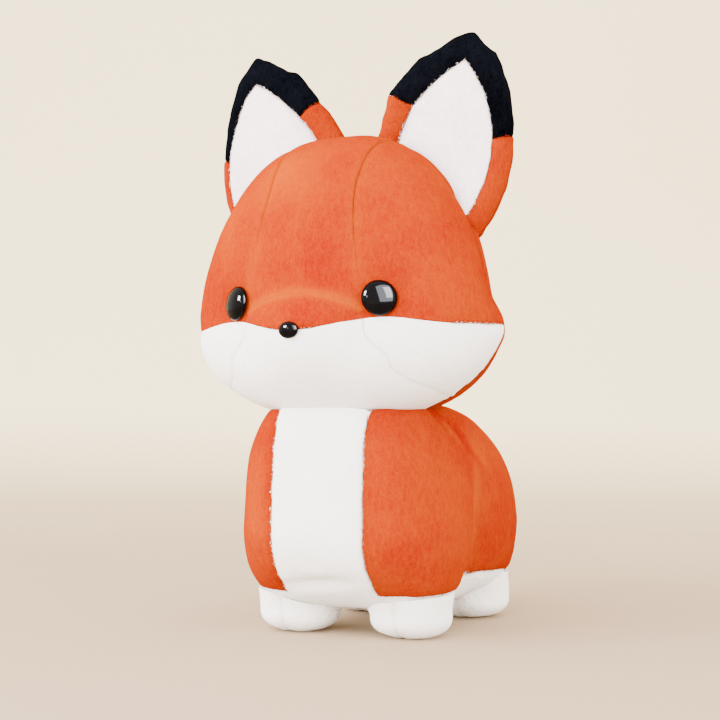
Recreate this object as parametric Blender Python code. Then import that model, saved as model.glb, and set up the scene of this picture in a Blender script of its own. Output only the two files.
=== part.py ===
# Plush fox: a big soft head with two ears on a small four-legged body.
# Short-pile fabric panels are sewn into covers, each cover is packed with
# polyester fibre, and the eyes and nose are plastic domes whose stems pass
# through the fabric into locking washers.
# Metres, +Z up. The fox looks along -Y and stands on Z = 0.

import math

import bmesh
import bpy
import numpy as np
from mathutils import Matrix, Vector
from mathutils.bvhtree import BVHTree

for old in list(bpy.data.objects):
    bpy.data.objects.remove(old, do_unlink=True)


# Sewing
FABRIC = 0.0020              # thickness of the short-pile fabric
SEAM_GAP = 0.0006            # between two panels that are sewn together
FILL_GAP = 0.0005            # between a cover and its filling
EAR_FILL_GAP = 0.0012        # the same in the thin ears
BODY_FILL_GAP = 0.0008
PRESS_GAP = 0.0008           # between two stuffed forms that are sewn together

# Head. The cheek points, where crown, cheek and back meet, are its widest places.
HEAD_HALF_WIDTH = 0.0893
HEAD_FACE_REACH = 0.0642     # from the crown seam forward to the face
HEAD_BACK_REACH = 0.0568
HEAD_CROWN_RISE = 0.1108     # from the cheek line up
HEAD_CHIN_DROP = 0.0452      # from the cheek line down
HEAD_Y = -0.0133
HEAD_Z = 0.1635              # height of the seam under the nose
CHEEK_RISE = 0.0046          # how much higher the cheek points are
CHEEK_SEAM_WAVE = 3.2        # degrees that the cheek seam rises under the eyes
HEAD_SQUARE = 2.5            # squareness of the head's side outline
FACE_OUTLINE = (2.02, 2.14)  # shape and sharpness of the outlines across the head
BACK_OUTLINE = (2.04, 1.08)
CROWN_OUTLINE = (2.66, 1.22)
CHIN_OUTLINE = (2.45, 1.80)
CROWN_SEAM_LOW = 0.386 * HEAD_HALF_WIDTH    # half distance between the two crown seams
CROWN_SEAM_MID = 0.286 * HEAD_HALF_WIDTH
CROWN_SEAM_TOP = 0.325 * HEAD_HALF_WIDTH
CHIN_SEAM_SIDE = 0.515 * HEAD_HALF_WIDTH
CHIN_SEAM_LOW = 0.672 * HEAD_HALF_WIDTH
SNOUT_REACH = 0.0105
SNOUT_HALF_WIDTH = 0.370 * HEAD_HALF_WIDTH
SNOUT_ARC_MIDDLE = 10.0      # degrees up from the seam under the nose
SNOUT_ARC_END = 5.5
CHIN_FADE = 55.0

# Ears. They stand where the crown and the back of the head are sewn together.
EAR_INSET = 0.0055           # from the middle of the head to the inner edge of an ear
EAR_OUTSIDE = 0.0172         # how far an ear's outline bends out beyond the cheek point
EAR_SPAN = HEAD_HALF_WIDTH + EAR_OUTSIDE - EAR_INSET
EAR_BASE_UP = 0.0485         # from the cheek line up to the lowest point of an ear
EAR_RISE = 0.1200            # from there up to the tip
EAR_BASE_Z = HEAD_Z + EAR_BASE_UP
# Outlines from base to tip, in shares of the span and the rise.
EAR_INNER_EDGE = ((0.000, 0.400), (0.059, 0.692), (0.394, 0.933), (0.599, 1.000))
EAR_OUTER_EDGE = ((0.594, 0.000), (1.000, 0.292), (0.829, 0.902), (0.599, 1.000))
LINING_INNER_EDGE = ((0.163, 0.417), (0.183, 0.658), (0.401, 0.825), (0.579, 0.871))
LINING_OUTER_EDGE = ((0.485, 0.000), (0.861, 0.267), (0.787, 0.683), (0.579, 0.871))
EAR_Y = -0.0050              # at the width and height that follow
EAR_MIDDLE_X = EAR_INSET + 0.44 * EAR_SPAN
EAR_MIDDLE_Z = EAR_BASE_Z + 0.65 * EAR_RISE
EAR_TURN = 0.20              # outward turn, metres back for each metre outward
EAR_LEAN = 0.02              # backward lean, metres for each metre of height
EAR_RIM_PUFF = 0.0042
EAR_INNER_CURL = 0.0175      # the inner edge is set back at the base
EAR_TIP_CURL = 0.0050        # and the tip comes forward
EAR_BACK_PUFF = 0.0085
EAR_BASE_PUFF = 0.0145       # the back is fuller where the ear leaves the head
LINING_SET_INNER = -0.0030   # edges of the lining in front of the ear's plane
LINING_SET_OUTER = 0.0140
LINING_SET_TIP = 0.0096
LINING_DISH = 0.0026
TIP_COLOUR_INNER = 0.36      # share of the ear's inner edge below the black tip
TIP_COLOUR_OUTER = 0.44
LINING_COLOUR_INNER = 0.43   # the same along the edges of the lining
LINING_COLOUR_OUTER = 0.52

# Body
BODY_HALF_WIDTH = 0.0655
BODY_CHEST_Y = -0.0610
BODY_RUMP_Y = 0.1245
BODY_WIDEST_Z = 0.0590
BODY_SQUARE = 3.0
NECK_HALF_WIDTH = 0.0380
NECK_FRONT_Y = -0.0525
NECK_BACK_Y = 0.0400
NECK_SUNK = 0.0072            # how far the top of the body reaches up into the head
NECK_Z = HEAD_Z - HEAD_CHIN_DROP + NECK_SUNK
NECK_SQUARE = 2.8
HEM_INSET = 0.0065           # the hem, the lower edge of the sides, is drawn in this much
HEM_HALF_WIDTH = BODY_HALF_WIDTH - HEM_INSET
HEM_FRONT_Y = -0.0400
HEM_BACK_Y = 0.1100
HEM_Z = 0.0230
HEM_SQUARE = 3.8
HEM_ARCH = 0.0070            # how much the hem rises between the legs
BELLY_Z = 0.0138
CHEST_SEAM = 0.0270          # half width of the white chest panel
CREASE_Y = 0.0110            # fold behind the front leg
CREASE_DEPTH = 0.0080
CREASE_WIDTH = 0.0130
CREASE_TOP_Z = 0.0880

# Paws
PAW_HALF_WIDTH = 0.0218
PAW_HALF_LENGTH = 0.0232
PAW_INSET = 0.0034           # from the hem's side in to the side of a paw
PAW_X = HEM_HALF_WIDTH - PAW_INSET - PAW_HALF_WIDTH
FRONT_PAW_Y = -0.0095
REAR_PAW_Y = 0.0830
PAW_WIDEST_Z = 0.0115
PAW_SOLE_CUT = 0.0005        # the rounded sole is cut flat this deep
PAW_TOP_SHARE = 1.08         # radius where it meets the body, as a share of the paw's

# Tail
TAIL_LENGTH = 0.0660
TAIL_ROOT_RADIUS = 0.0170
TAIL_RADIUS = 0.0270
TAIL_Z = 0.0640
TAIL_RISE = 0.0240
TAIL_TIP_FROM = 0.64         # share of the length where the white tip starts

# Eyes and nose
EYE_X = 0.459 * HEAD_HALF_WIDTH
EYE_UP = 0.0163              # from the cheek line up to the eyes
EYE_Z = HEAD_Z + EYE_UP
EYE_RADIUS = 0.0093
EYE_DOME = 0.0050
EYE_DIMPLE = 0.0055          # the washers pull the face in around the eyes
EYE_DIMPLE_RADIUS = 0.0120
EYE_DIMPLE_OUT = 0.0022      # the deepest place is this far outside the middle of the eye
EYE_OUTWARD = 31.0           # degrees that the eyes look outwards
EYE_UPWARD = 7.0
NOSE_RADIUS = 0.0052
NOSE_SQUASH = 0.80           # height of the nose as a share of its width
NOSE_DOME = 0.0036
STEM_RADIUS = 0.0022
STEM_LENGTH = 0.0150
STEM_CLEARANCE = 0.0003
WASHER_RADIUS = 0.0075
NOSE_WASHER_RADIUS = 0.0048
WASHER_THICKNESS = 0.0016
WASHER_BORE_CLEARANCE = 0.00015
DOME_SEAT = 0.0003           # between a dome's flat back and the highest fabric under it
WASHER_SEAT = 0.0004         # between a washer and the lowest fabric over it
POCKET_CLEARANCE = 0.0008

# Counts that set how finely the forms are divided
HEAD_GUSSET_COLUMNS = 3
HEAD_SIDE_COLUMNS = 7
SNOUT_ROW_COUNT = 2          # from the seam under the nose up to the snout's arc
FACE_ROW_COUNT = 7           # on to the seam between crown and back
BACK_ROW_COUNT = 12          # down the back to the seam under the head
CHIN_ROW_COUNT = 6
CHEST_COLUMNS = 3
SIDE_COLUMNS = 12
PAW_COLUMNS = 14
TAIL_COLUMNS = 14
RIM_COLUMNS = 3
LINING_COLUMNS = 6
TURNED_SEGMENTS = 24


# Colours, as they are seen, with the roughness of each surface
COLOURS = {
    "orange_plush": ((0.92, 0.44, 0.24), 0.95),
    "white_plush": ((0.95, 0.95, 0.95), 0.95),
    "black_plush": ((0.05, 0.06, 0.09), 0.95),
    "fibre_filling": ((0.88, 0.88, 0.86), 1.00),
    "black_plastic": ((0.03, 0.03, 0.03), 0.08),
    "clear_washer": ((0.80, 0.82, 0.84), 0.35),
}


def linear(value):
    return value / 12.92 if value <= 0.04045 else ((value + 0.055) / 1.055) ** 2.4


def make_material(name):
    colour, roughness = COLOURS[name]
    material = bpy.data.materials.new(name)
    material.use_nodes = True
    shader = material.node_tree.nodes["Principled BSDF"]
    rgba = [linear(channel) for channel in colour] + [1.0]
    shader.inputs["Base Color"].default_value = rgba
    shader.inputs["Roughness"].default_value = roughness
    shader.inputs["Metallic"].default_value = 0.0
    material.diffuse_color = rgba
    return material


MATERIALS = {name: make_material(name) for name in COLOURS}


def add_solid(name, points, faces, material):
    """Makes one closed object whose faces look outwards."""
    mesh = bpy.data.meshes.new(name)
    mesh.from_pydata([tuple(point) for point in points], [], [tuple(face) for face in faces])
    edit = bmesh.new()
    edit.from_mesh(mesh)
    if edit.calc_volume(signed=True) < 0.0:
        bmesh.ops.reverse_faces(edit, faces=edit.faces)
    edit.to_mesh(mesh)
    edit.free()
    mesh.materials.append(MATERIALS[material])
    mesh.shade_smooth()
    mesh.set_sharp_from_angle(angle=math.radians(50.0))
    item = bpy.data.objects.new(name, mesh)
    bpy.context.scene.collection.objects.link(item)
    return item


def blend(low, high, share):
    return low + (high - low) * share


def eased(low, high, share):
    share = min(max(share, 0.0), 1.0)
    return low + (high - low) * share * share * (3.0 - 2.0 * share)


def eased_through(stops, value):
    """Follows (place, size) stops with a smooth step between each two."""
    for (place_a, size_a), (place_b, size_b) in zip(stops, stops[1:]):
        if value <= place_b:
            return eased(size_a, size_b, (value - place_a) / (place_b - place_a))
    return stops[-1][1]


def falling(share, shape, sharpness):
    """1 in the middle and 0 at a share of 1, along a superellipse."""
    return max(0.0, 1.0 - abs(share) ** shape) ** (1.0 / sharpness)


def first_true(test, low, high):
    """The value between low and high where the test starts to hold."""
    for _ in range(40):
        middle = 0.5 * (low + high)
        if test(middle):
            high = middle
        else:
            low = middle
    return high


class SewnForm:
    """A closed stuffed form in labelled panels, from which covers and filling are made."""

    def __init__(self):
        self.points = []
        self.triangles = []
        self.labels = []
        self.known = {}

    def corner(self, point):
        key = tuple(round(value * 1e6) for value in point)
        if key not in self.known:
            self.known[key] = len(self.points)
            self.points.append(np.array(point, dtype=float))
        return self.known[key]

    def triangle(self, a, b, c, label):
        if len({a, b, c}) == 3:
            self.triangles.append((a, b, c))
            self.labels.append(label)

    def patch(self, rows, label_of, closed=False):
        """Fills a grid of points; label_of names the panel of each cell."""
        grid = [[self.corner(point) for point in row] for row in rows]
        width = len(grid[0])
        for i in range(len(grid) - 1):
            for j in range(width if closed else width - 1):
                k = (j + 1) % width
                a, b, c, d = grid[i][j], grid[i][k], grid[i + 1][k], grid[i + 1][j]
                label = label_of(i, j)
                if (j < width / 2) != bool(a == b or c == d):
                    self.triangle(a, b, c, label)
                    self.triangle(a, c, d, label)
                else:
                    self.triangle(a, b, d, label)
                    self.triangle(b, c, d, label)

    def finish(self):
        """Turns the faces outwards and finds the normal at each point."""
        form = bmesh.new()
        corners = [form.verts.new(tuple(point)) for point in self.points]
        for tri in self.triangles:
            form.faces.new([corners[corner] for corner in tri])
        bmesh.ops.recalc_face_normals(form, faces=form.faces)
        form.verts.index_update()
        self.triangles = [tuple(corner.index for corner in face.verts) for face in form.faces]
        form.free()
        points = np.array(self.points)
        a, b, c = (points[[tri[i] for tri in self.triangles]] for i in range(3))
        across = np.cross(b - a, c - a)
        across /= np.linalg.norm(across, axis=1)[:, None]
        normals = np.zeros_like(points)
        for tri, normal in zip(self.triangles, across):
            for corner, after, before in (tri, tri[1:] + tri[:1], tri[2:] + tri[:2]):
                ahead = points[after] - points[corner]
                behind = points[before] - points[corner]
                lengths = np.linalg.norm(ahead) * np.linalg.norm(behind)
                normals[corner] += normal * math.acos(min(max(ahead @ behind / lengths, -1.0), 1.0))
        self.points = points
        self.normals = normals / np.linalg.norm(normals, axis=1)[:, None]
        self.tree = BVHTree.FromPolygons([tuple(p) for p in points], self.triangles)
        return self

    def add_filling(self, name, gap=FILL_GAP):
        inside = self.points - self.normals * (FABRIC + gap)
        return add_solid(name, inside, self.triangles, "fibre_filling")

    def add_panel(self, name, labels, material):
        """Makes one fabric panel, set in from its seams by half the seam gap."""
        labels = {labels} if isinstance(labels, str) else set(labels)
        faces = [tri for tri, label in zip(self.triangles, self.labels) if label in labels]
        sides = {}
        for p, q, r in faces:
            for edge in ((p, q), (q, r), (r, p)):
                sides[edge] = (p, q, r)
        rim = [edge for edge in sides if (edge[1], edge[0]) not in sides]
        inward = {}
        for p, q in rim:
            along = self.points[q] - self.points[p]
            across = np.cross(self.normals[p] + self.normals[q], along)
            across /= np.linalg.norm(across)
            for corner in (p, q):
                inward.setdefault(corner, []).append(across)
        used = sorted({corner for tri in faces for corner in tri})
        order = {corner: index for index, corner in enumerate(used)}
        outer = []
        for corner in used:
            point = self.points[corner].copy()
            if corner in inward:
                shift = np.sum(inward[corner], axis=0)
                length = np.linalg.norm(shift)
                lean = max(length / len(inward[corner]), 0.5)
                point += shift / length * (0.5 * SEAM_GAP / lean)
            outer.append(point)
        inner = [point - self.normals[corner] * FABRIC for point, corner in zip(outer, used)]
        count = len(used)
        mesh_faces = [tuple(order[corner] for corner in tri) for tri in faces]
        mesh_faces += [tuple(order[corner] + count for corner in reversed(tri)) for tri in faces]
        for p, q in rim:
            # Both panels at a seam divide its walls along the same diagonals.
            a, b = order[p], order[q]
            if p < q:
                mesh_faces += [(b, a, a + count), (b, a + count, b + count)]
            else:
                mesh_faces += [(b, a, b + count), (a, a + count, b + count)]
        return add_solid(name, outer + inner, mesh_faces, material)


# Head form. It is turned about the side-to-side axis: 0 degrees is the seam
# under the nose, 90 the crown, 180 the back and 270 the bottom.

def head_reaches(x):
    """Reaches of the head's outline at x: forward, back, up and down."""
    across = min(abs(x) / HEAD_HALF_WIDTH, 1.0)
    return (
        HEAD_FACE_REACH * falling(across, *FACE_OUTLINE),
        HEAD_BACK_REACH * falling(across, *BACK_OUTLINE),
        HEAD_CROWN_RISE * falling(across, *CROWN_OUTLINE),
        HEAD_CHIN_DROP * falling(across, *CHIN_OUTLINE),
    )


def head_middle(x):
    across = min(abs(x) / HEAD_HALF_WIDTH, 1.0)
    return HEAD_Y, HEAD_Z + CHEEK_RISE * across ** 2


def snout_arc(x):
    share = min(abs(x) / CROWN_SEAM_LOW, 1.0)
    return blend(SNOUT_ARC_MIDDLE, SNOUT_ARC_END, share ** 2)


def cheek_seam(x):
    """The turn of the seam between the orange crown and the white cheeks."""
    return CHEEK_SEAM_WAVE * math.sin(math.pi * min(abs(x) / HEAD_HALF_WIDTH, 1.0)) ** 2


def snout_swell(x, turn):
    """How far the snout stands out of the face; its ridge is the seam under the nose."""
    wide = max(0.0, 1.0 - (x / SNOUT_HALF_WIDTH) ** 2) ** 1.2
    seam = cheek_seam(x)
    if seam <= turn < 180.0:
        share = (turn - seam) / (snout_arc(x) - seam)
        high = math.cos(0.5 * math.pi * min(share, 1.0))
    else:
        share = (360.0 + seam - turn) % 360.0 / CHIN_FADE
        high = math.cos(0.5 * math.pi * min(share, 1.0)) ** 2
    return SNOUT_REACH * wide * high


def eye_dimple(x, z):
    """How far the face is pulled in by the eyes."""
    away = math.hypot(abs(x) - EYE_X - EYE_DIMPLE_OUT, z - EYE_Z) / EYE_DIMPLE_RADIUS
    return EYE_DIMPLE * math.exp(-away ** 2)


def head_point(x, turn):
    face, back, crown, chin = head_reaches(x)
    y_middle, z_middle = head_middle(x)
    along = math.cos(math.radians(turn))
    up = math.sin(math.radians(turn))
    size = (abs(along) ** HEAD_SQUARE + abs(up) ** HEAD_SQUARE) ** (-1.0 / HEAD_SQUARE)
    y = y_middle - along * size * (face if along > 0.0 else back)
    z = z_middle + up * size * (crown if up > 0.0 else chin)
    if along > 0.0:
        y += eye_dimple(x, z) - snout_swell(x, turn)
    return np.array((x, y, z))


def outside_head(point, gap):
    """True where a point is clear of the head by the gap."""
    x, y, z = point
    if abs(x) >= HEAD_HALF_WIDTH:
        return True
    face, back, crown, chin = head_reaches(x)
    y_middle, z_middle = head_middle(x)
    y_share = abs(y - y_middle) / (face if y < y_middle else back)
    z_share = abs(z - z_middle) / (crown if z > z_middle else chin)
    level = (y_share ** HEAD_SQUARE + z_share ** HEAD_SQUARE) ** (1.0 / HEAD_SQUARE)
    reach = math.hypot(y - y_middle, z - z_middle)
    return (1.0 - 1.0 / level) * reach > gap if level > 0.0 else False


def middle_seam_x(turn):
    """Half width of the middle panels: crown, snout and chin, and the back between them."""
    stops = (
        (0.0, CROWN_SEAM_LOW),
        (42.0, CROWN_SEAM_MID),
        (90.0, CROWN_SEAM_TOP),
        (180.0, CROWN_SEAM_LOW),
        (270.0, CHIN_SEAM_LOW),
        (300.0, CHIN_SEAM_LOW),
        (335.0, CHIN_SEAM_SIDE),
        (360.0, CROWN_SEAM_LOW),
    )
    return eased_through(stops, turn)


SNOUT_TOP_ROW = SNOUT_ROW_COUNT
CROWN_ROW = SNOUT_TOP_ROW + FACE_ROW_COUNT
UNDER_ROW = CROWN_ROW + BACK_ROW_COUNT
HEAD_ROWS = UNDER_ROW + CHIN_ROW_COUNT
HEAD_COLUMNS = HEAD_GUSSET_COLUMNS + HEAD_SIDE_COLUMNS


def head_turn(row, x):
    """The turn of each row; one row follows the arc above the snout."""
    low, arc = cheek_seam(x), snout_arc(x)
    if row <= SNOUT_TOP_ROW:
        return blend(low, arc, row / SNOUT_ROW_COUNT)
    if row <= CROWN_ROW:
        return blend(arc, 90.0, (row - SNOUT_TOP_ROW) / FACE_ROW_COUNT)
    if row <= UNDER_ROW:
        return blend(90.0, 270.0, (row - CROWN_ROW) / BACK_ROW_COUNT)
    return blend(270.0, 360.0 + low, (row - UNDER_ROW) / CHIN_ROW_COUNT)


def head_column_x(column, turn):
    side = -1.0 if column < 0 else 1.0
    column = abs(column)
    seam = middle_seam_x(turn)
    if column <= HEAD_GUSSET_COLUMNS:
        return side * seam * column / HEAD_GUSSET_COLUMNS
    share = (column - HEAD_GUSSET_COLUMNS) / HEAD_SIDE_COLUMNS
    return side * blend(seam, HEAD_HALF_WIDTH, math.sin(0.5 * math.pi * share))


def head_row(row):
    points = []
    for column in range(-HEAD_COLUMNS, HEAD_COLUMNS + 1):
        x = head_column_x(column, head_turn(row, CROWN_SEAM_LOW))
        x = head_column_x(column, head_turn(row, x))
        points.append(head_point(x, head_turn(row, x) % 360.0))
    return points


def head_label(row, column):
    column -= HEAD_COLUMNS
    side = "left" if column >= 0 else "right"
    middle = -HEAD_GUSSET_COLUMNS <= column < HEAD_GUSSET_COLUMNS
    if row < SNOUT_TOP_ROW and middle:
        return "snout_top"
    if row < CROWN_ROW:
        return "crown_middle" if middle else "crown_" + side
    if row < UNDER_ROW:
        return "back_" + side
    return "chin" if middle else "cheek_" + side


head = SewnForm()
head.patch([head_row(row % HEAD_ROWS) for row in range(HEAD_ROWS + 1)], head_label)
head.finish()
head_filling = head.add_filling("head_filling")
head_panels = {
    "crown_middle": head.add_panel("crown_gusset", "crown_middle", "orange_plush"),
    "crown_left": head.add_panel("crown_left", "crown_left", "orange_plush"),
    "crown_right": head.add_panel("crown_right", "crown_right", "orange_plush"),
    "snout_top": head.add_panel("snout_top", "snout_top", "orange_plush"),
    "chin": head.add_panel("chin_panel", "chin", "white_plush"),
}
for side in ("left", "right"):
    head.add_panel("cheek_" + side, "cheek_" + side, "white_plush")
    head.add_panel("head_back_" + side, "back_" + side, "orange_plush")


# Ears: a padded pocket whose black and orange rim wraps round a dished white lining.

EAR_COLUMNS = 2 * RIM_COLUMNS + LINING_COLUMNS
EAR_LOW_ROWS = 4
EAR_ROWS = 9
EAR_COLOUR_UP = 0.45


def edge_point(edge, up, colour_share):
    """A point on an edge curve; the colours change at the same row on every edge."""
    share = float(np.interp(up, (0.0, EAR_COLOUR_UP, 1.0), (0.0, colour_share, 1.0)))
    a, b, c, d = (np.array(end) for end in edge)
    rest = 1.0 - share
    place = rest ** 3 * a + 3 * rest ** 2 * share * b + 3 * rest * share ** 2 * c + share ** 3 * d
    return np.array((EAR_INSET + place[0] * EAR_SPAN, EAR_BASE_Z + place[1] * EAR_RISE))


def ear_point(side, column, up, face):
    """face is -1 on the front of the ear and 1 on its back."""
    stops = (
        edge_point(EAR_INNER_EDGE, up, TIP_COLOUR_INNER),
        edge_point(LINING_INNER_EDGE, up, LINING_COLOUR_INNER),
        edge_point(LINING_OUTER_EDGE, up, LINING_COLOUR_OUTER),
        edge_point(EAR_OUTER_EDGE, up, TIP_COLOUR_OUTER),
    )
    set_inner = blend(LINING_SET_INNER, LINING_SET_TIP, up)
    set_outer = blend(LINING_SET_OUTER, LINING_SET_TIP, up)
    if column <= RIM_COLUMNS:
        share = column / RIM_COLUMNS
        x, z = blend(stops[0], stops[1], share)
        front = EAR_RIM_PUFF * math.sin(math.pi * share ** 0.8) + set_inner * share
    elif column >= RIM_COLUMNS + LINING_COLUMNS:
        share = (EAR_COLUMNS - column) / RIM_COLUMNS
        x, z = blend(stops[3], stops[2], share)
        front = EAR_RIM_PUFF * math.sin(math.pi * share ** 0.8) + set_outer * share
    else:
        share = (column - RIM_COLUMNS) / LINING_COLUMNS
        x, z = blend(stops[1], stops[2], share)
        dish = LINING_DISH * 4.0 * share * (1.0 - share) * (1.0 - up ** 2)
        front = blend(set_inner, set_outer, share) - dish
    puff = eased(EAR_BASE_PUFF, EAR_BACK_PUFF, up / EAR_COLOUR_UP)
    back = puff * math.sin(math.pi * column / EAR_COLUMNS) ** 0.6
    depth = (back if face > 0.0 else -front) * (1.0 - 0.35 * up ** 2)
    inner = (1.0 - column / EAR_COLUMNS) ** 4
    curl = EAR_INNER_CURL * inner * max(0.0, 1.0 - (up / EAR_COLOUR_UP) ** 2)
    curl -= EAR_TIP_CURL * max(0.0, (up - EAR_COLOUR_UP) / (1.0 - EAR_COLOUR_UP))
    y = EAR_Y + EAR_TURN * (x - EAR_MIDDLE_X) + EAR_LEAN * (z - EAR_MIDDLE_Z) + curl + depth
    return np.array((side * x, y, z))


def ear_line(side, column, face):
    """One line of points from where the ear leaves the head up to its tip."""
    def clear(up):
        return bool(outside_head(ear_point(side, column, up, face), PRESS_GAP))

    start = first_true(clear, 0.0, EAR_COLOUR_UP)
    line = [blend(start, EAR_COLOUR_UP, row / EAR_LOW_ROWS) for row in range(EAR_LOW_ROWS)]
    high_rows = EAR_ROWS - EAR_LOW_ROWS
    line += [blend(EAR_COLOUR_UP, 1.0, row / high_rows) for row in range(high_rows + 1)]
    return [ear_point(side, column, up, face) for up in line]


def resting_on_head(point):
    """Moves a point of the ear's base along Z until it lies just above the head."""
    def clear(z):
        return bool(outside_head((point[0], point[1], z), PRESS_GAP))

    z = first_true(clear, HEAD_Z + CHEEK_RISE, HEAD_Z + 1.2 * HEAD_CROWN_RISE)
    return np.array((point[0], point[1], z))


def ear_label(row, column):
    tip = row >= EAR_LOW_ROWS
    if column < RIM_COLUMNS:
        return "rim_tip" if tip else "rim_inner"
    if column >= RIM_COLUMNS + LINING_COLUMNS:
        return "rim_tip" if tip else "rim_outer"
    return "lining"


for side, name in ((1.0, "left"), (-1.0, "right")):
    front = [ear_line(side, column, -1.0) for column in range(EAR_COLUMNS + 1)]
    back = [ear_line(side, column, 1.0) for column in range(EAR_COLUMNS + 1)]
    ear = SewnForm()
    ear.patch([list(row) for row in zip(*front)], ear_label)
    ear.patch(
        [list(row) for row in zip(*back)],
        lambda row, column: "back_tip" if row >= EAR_LOW_ROWS else "back_low",
    )
    base = [[line[0] for line in front]]
    base.append([resting_on_head(0.5 * (f[0] + b[0])) for f, b in zip(front, back)])
    base.append([line[0] for line in back])
    base[1][0], base[1][-1] = base[0][0], base[0][-1]
    ear.patch(base, lambda row, column: "base")
    ear.finish()
    ear.add_filling("ear_filling_" + name, EAR_FILL_GAP)
    ear.add_panel("ear_lining_" + name, "lining", "white_plush")
    ear.add_panel("ear_rim_inner_" + name, "rim_inner", "orange_plush")
    ear.add_panel("ear_rim_outer_" + name, "rim_outer", "orange_plush")
    ear.add_panel("ear_rim_tip_" + name, "rim_tip", "black_plush")
    ear.add_panel("ear_back_" + name, "back_low", "orange_plush")
    ear.add_panel("ear_back_tip_" + name, "back_tip", "black_plush")


# Body. Rings run from the neck (0) over the widest place (1) to the hem (2)
# and under it to the middle of the belly (3).

def ring_point(half_width, front, back, square, angle):
    sideways = math.sin(math.radians(angle))
    ahead = math.cos(math.radians(angle))
    size = (abs(sideways) ** square + abs(ahead) ** square) ** (-1.0 / square)
    x = half_width * sideways * size
    y = 0.5 * (front + back) - 0.5 * (back - front) * ahead * size
    return np.array((x, y))


def between_legs(x, y):
    """1 in the middle between the front and rear legs, 0 at the chest."""
    middle = 0.5 * (FRONT_PAW_Y + REAR_PAW_Y)
    half = 0.5 * (REAR_PAW_Y - FRONT_PAW_Y)
    share = min(abs(y - middle) / half, 1.0)
    return 0.5 + 0.5 * math.cos(math.pi * share)


def body_point(level, angle):
    neck = ring_point(NECK_HALF_WIDTH, NECK_FRONT_Y, NECK_BACK_Y, NECK_SQUARE, angle)
    wide = ring_point(BODY_HALF_WIDTH, BODY_CHEST_Y, BODY_RUMP_Y, BODY_SQUARE, angle)
    hem = ring_point(HEM_HALF_WIDTH, HEM_FRONT_Y, HEM_BACK_Y, HEM_SQUARE, angle)
    hem_z = HEM_Z + HEM_ARCH * between_legs(*hem)
    if level <= 0.0:
        middle = np.array((0.0, 0.5 * (NECK_FRONT_Y + NECK_BACK_Y)))
        plan = blend(middle, neck, 1.0 + level)
        z = NECK_Z
    elif level <= 1.0:
        plan = blend(neck, wide, level)
        z = BODY_WIDEST_Z + (NECK_Z - BODY_WIDEST_Z) * falling(level, 1.8, 2.0)
    elif level <= 2.0:
        share = level - 1.0
        plan = blend(wide, hem, share ** 2.3)
        z = blend(BODY_WIDEST_Z, hem_z, share)
    else:
        share = 3.0 - level
        middle = np.array((0.0, 0.5 * (FRONT_PAW_Y + REAR_PAW_Y)))
        plan = blend(middle, hem, share)
        z = BELLY_Z + (hem_z - BELLY_Z) * share ** 2.5
    x, y = plan
    fold = math.exp(-((y - CREASE_Y) / CREASE_WIDTH) ** 2) * eased(0.0, 1.0, (CREASE_TOP_Z - z) / 0.04)
    if 0.0 < level <= 2.0:
        x -= math.copysign(CREASE_DEPTH * fold, x) * min(abs(x) / BODY_HALF_WIDTH, 1.0) ** 4
    return np.array((x, y, z))


def under_head(point):
    """Presses a point of the body down until it lies just under the head."""
    x, y, z = point
    top = HEAD_Z
    if outside_head((x, y, top), PRESS_GAP):
        return point

    def clear(depth):
        return bool(outside_head((x, y, top - depth), PRESS_GAP))

    depth = first_true(clear, 0.0, 2.0 * HEAD_CHIN_DROP)
    return np.array((x, y, min(z, top - depth)))


def seam_angle(level):
    """The angle at which the chest seam crosses a ring."""
    return first_true(lambda angle: body_point(level, angle)[0] > CHEST_SEAM, 1.0, 80.0)


BODY_LEVELS = (-1.0, -0.5, 0.0, 0.22, 0.46, 0.70, 0.88, 1.0, 1.33, 1.66, 2.0, 2.2, 2.45, 2.7, 3.0)


def body_row(level):
    seam = seam_angle(max(level, 0.0) if level < 2.0 else 2.0)
    right = [blend(-180.0, -seam, step / SIDE_COLUMNS) for step in range(SIDE_COLUMNS)]
    chest = [seam * step / CHEST_COLUMNS for step in range(-CHEST_COLUMNS, CHEST_COLUMNS + 1)]
    left = [blend(seam, 180.0, step / SIDE_COLUMNS) for step in range(1, SIDE_COLUMNS)]
    return [under_head(body_point(level, angle)) for angle in right + chest + left]


def body_label(row, column):
    level = BODY_LEVELS[row]
    if level < -0.5:
        return "neck"
    if level >= 2.0 or SIDE_COLUMNS <= column < SIDE_COLUMNS + 2 * CHEST_COLUMNS:
        return "belly"
    return "side_right" if column < SIDE_COLUMNS else "side_left"


body = SewnForm()
body.patch([body_row(level) for level in BODY_LEVELS], body_label, closed=True)
body.finish()
body.add_filling("body_filling", BODY_FILL_GAP)
body.add_panel("chest_belly_panel", "belly", "white_plush")
body.add_panel("side_left", "side_left", "orange_plush")
body.add_panel("side_right", "side_right", "orange_plush")


# Paws: white bowls of fabric, packed hard, sewn under the corners of the body.

def belly_above(x, y, middle):
    """Height just under the body, at the nearest place that is covered by it."""
    for _ in range(60):
        hit = body.tree.ray_cast(Vector((x, y, -0.01)), Vector((0.0, 0.0, 1.0)))[0]
        if hit is not None and hit.z < HEM_Z + HEM_ARCH * between_legs(x, y):
            return np.array((x, y, hit.z - PRESS_GAP))
        x = blend(middle[0], x, 0.98)
        y = blend(middle[1], y, 0.98)
    return np.array((x, y, HEM_Z))


def paw_radius(z):
    share = (PAW_WIDEST_Z - z) / (PAW_WIDEST_Z + PAW_SOLE_CUT)
    return falling(share, 4.0, 2.2)


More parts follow.
